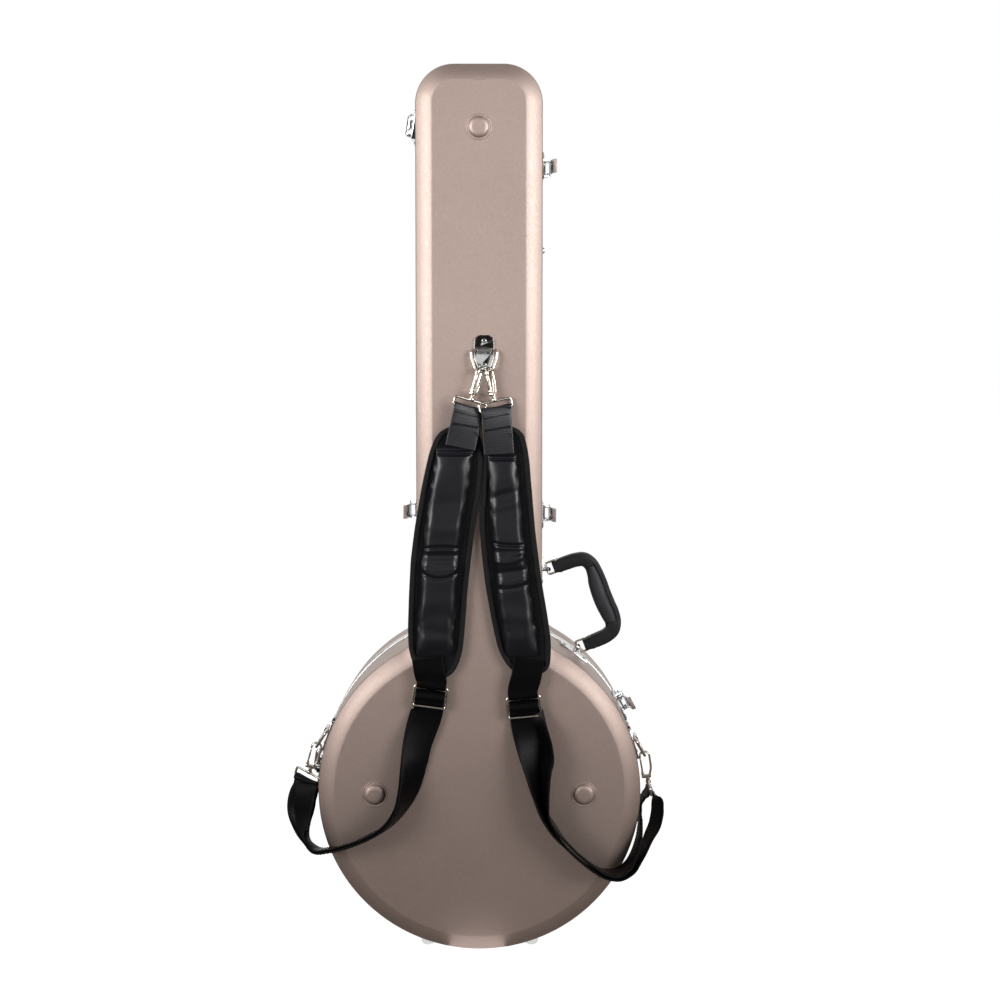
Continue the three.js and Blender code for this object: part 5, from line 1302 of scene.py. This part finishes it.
studs = []
for at in (9, len(outer) - 10):
    for edge, way in ((outer, -1), (inner, 1)):
        spot = handle_points(edge[at : at + 1], np.zeros(1))[0]
        aim = handle_points((inner - outer)[at : at + 1] * way, np.zeros(1))[0] - np.array(HANDLE_TOP)
        studs.append(turned(RIVET_SHAPE, spot, unit(aim), 20))
rivets = build("handle_rivets", studs, chrome, "handle", 50)

for name, along in (("handle_ring_upper", 0.0), ("handle_ring_lower", HANDLE_CHORD)):
    flat = round_loop(*RING_BOW)
    loop = handle_points(flat[:, :2] + np.array([along, 0.0]), np.zeros(len(flat)))
    ring = build(f"{name}_smooth", [wire(loop, (0, 1, 0), RING_CLOSED, True)], nickel, "handle", 40)
    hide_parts(name)


# Floor, light and camera
# A white floor and room, and a soft box with a narrow beam at each side that lights the rolled edges.
# The flat back and the plating reflect a dark wall behind the camera, and matt boards lie low in front.
FLOOR_TONE, FLOOR_GLOW, ROOM_LIGHT, FLOOR_HALF = 0.9, 0.9, 0.08, 12
BOX_ASIDE, BOX_FORWARD, BOX_HIGH, BOX_AIM_HIGH = 1.5, 1.3, 1.1, 0.82
BOX_WIDE, BOX_TALL, BOX_POWER, BOX_BEAM = 1.0, 1.1, 4.8, 55
CAMERA_PLACE, CAMERA_TILT = (25.4, -1768.5, 758.6), 87
CAMERA_LENS, CAMERA_SENSOR, CAMERA_SHIFT = 49.788, 36.0, -0.088
DARK_TONE, DUSKY_TONE, DUSKY_GLOW = (0.14, 0.125, 0.11), (0.26, 0.235, 0.21), 0.15
DUSKY_BOARDS = {
    "low_board": [(-0.5, -0.105, 0.001), (0.5, -0.105, 0.001), (1.2, -1.85, 0.26), (-1.2, -1.85, 0.26)],
    "left_board": [(-0.035, 0.3, 0.001), (-0.035, -0.32, 0.001), (-1.9, -1.3, 0.50), (-1.9, 0.3, 0.50)],
    "right_board": [(0.035, 0.3, 0.001), (0.035, -0.32, 0.001), (1.9, -1.3, 0.50), (1.9, 0.3, 0.50)],
}
DARK_BOARDS = {
    "left_flag": [(-1.6, -0.05, 0.3), (-1.6, 1.4, 0.3), (-1.6, 1.4, 1.7), (-1.6, -0.05, 1.7)],
    "right_flag": [(1.6, -0.05, 0.3), (1.6, 1.4, 0.3), (1.6, 1.4, 1.7), (1.6, -0.05, 1.7)],
    "camera_wall": [(-0.85, -1.9, 0.6), (0.85, -1.9, 0.6), (0.85, -1.9, 1.7), (-0.85, -1.9, 1.7)],
    "high_board": [(-1.2, -1.9, 2.4), (1.2, -1.9, 2.4), (1.2, 0.6, 3.2), (-1.2, 0.6, 3.2)],
}


def sees_white(made):
    """One for the rays of the camera and those that metal and glass send on, which meet a white room."""
    path = node(made, "ShaderNodeLightPath")
    first = node(made, "ShaderNodeMath", operation="MAXIMUM")
    second = node(made, "ShaderNodeMath", operation="MAXIMUM")
    link(made, path.outputs["Is Camera Ray"], first.inputs[0])
    link(made, path.outputs["Is Glossy Ray"], first.inputs[1])
    link(made, first.outputs[0], second.inputs[0])
    link(made, path.outputs["Is Transmission Ray"], second.inputs[1])
    return second.outputs[0]


def pale_floor():
    """A white floor, which the case can shade: the camera and the gloss also see a glow in it."""
    colour = {"Base Color": (FLOOR_TONE, FLOOR_TONE, FLOOR_TONE, 1), "Emission Color": (1, 1, 1, 1)}
    made, shader = material_of("pale_floor", {**colour, "Roughness": 0.7, "Specular IOR Level": 0.1})
    glow = node(made, "ShaderNodeMath", {1: FLOOR_GLOW}, operation="MULTIPLY")
    link(made, sees_white(made), glow.inputs[0])
    link(made, glow.outputs[0], shader.inputs["Emission Strength"])
    return made


def matt_board(name, tone, glow):
    """A board's dull finish; a little glow stands for the light that the room gives it."""
    colour = {"Base Color": (*tone, 1), "Emission Color": (*tone, 1), "Emission Strength": glow}
    return material_of(name, {**colour, "Roughness": 0.9})[0]


def flat_stage(name, corners, material):
    """A plain sheet of the studio."""
    sheet = bpy.data.meshes.new(name)
    sheet.from_pydata(corners, [], [(0, 1, 2, 3)])
    sheet.materials.append(material)
    made = bpy.data.objects.new(name, sheet)
    bpy.context.scene.collection.objects.link(made)
    return made


def put_up(boards, material):
    """Boards that only metal and gloss see: they hide nothing, shade nothing and light nothing."""
    for name, corners in boards.items():
        board = flat_stage(name, corners, material)
        board.visible_camera = board.visible_diffuse = board.visible_shadow = False


def soft_box(name, place, target):
    """An area light at a place, turned to face a target."""
    lamp = bpy.data.lights.new(name, "AREA")
    lamp.shape, lamp.size, lamp.size_y = "RECTANGLE", BOX_WIDE, BOX_TALL
    lamp.energy, lamp.spread = BOX_POWER, math.radians(BOX_BEAM)
    box = bpy.data.objects.new(name, lamp)
    bpy.context.scene.collection.objects.link(box)
    box.location = place
    box.rotation_mode = "QUATERNION"
    box.rotation_quaternion = (Vector(target) - Vector(place)).to_track_quat("-Z", "Y")


def pale_room():
    """A world that is white to the camera and in reflections, and a faint light on the case."""
    world = bpy.data.worlds.new("pale_room")
    world.use_nodes = True
    world.node_tree.nodes.clear()
    out = node(world, "ShaderNodeOutputWorld")
    lit = node(world, "ShaderNodeBackground", {"Color": (1, 1, 1, 1), "Strength": ROOM_LIGHT})
    seen = node(world, "ShaderNodeBackground", {"Color": (1, 1, 1, 1), "Strength": 1.0})
    mixed = node(world, "ShaderNodeMixShader")
    link(world, sees_white(world), mixed.inputs["Fac"])
    link(world, lit.outputs[0], mixed.inputs[1])
    link(world, seen.outputs[0], mixed.inputs[2])
    link(world, mixed.outputs[0], out.inputs["Surface"])
    return world


ends = [(-FLOOR_HALF, -FLOOR_HALF, 0), (FLOOR_HALF, -FLOOR_HALF, 0)]
flat_stage("floor", [*ends, (FLOOR_HALF, FLOOR_HALF, 0), (-FLOOR_HALF, FLOOR_HALF, 0)], pale_floor())
put_up(DUSKY_BOARDS, matt_board("dusky_board", DUSKY_TONE, DUSKY_GLOW))
put_up(DARK_BOARDS, matt_board("dark_board", DARK_TONE, 0.0))
for name, side in (("left_box", -1), ("right_box", 1)):
    soft_box(name, (side * BOX_ASIDE, -BOX_FORWARD, BOX_HIGH), (0, 0, BOX_AIM_HIGH))
bpy.context.scene.world = pale_room()

lens = bpy.data.cameras.new("camera")
lens.lens, lens.sensor_width, lens.shift_y = CAMERA_LENS, CAMERA_SENSOR, CAMERA_SHIFT
camera = bpy.data.objects.new("camera", lens)
bpy.context.scene.collection.objects.link(camera)
camera.location = row(CAMERA_PLACE)
camera.rotation_euler = (math.radians(CAMERA_TILT), 0, 0)
bpy.context.scene.camera = camera
bpy.context.scene.view_settings.view_transform = "Standard"
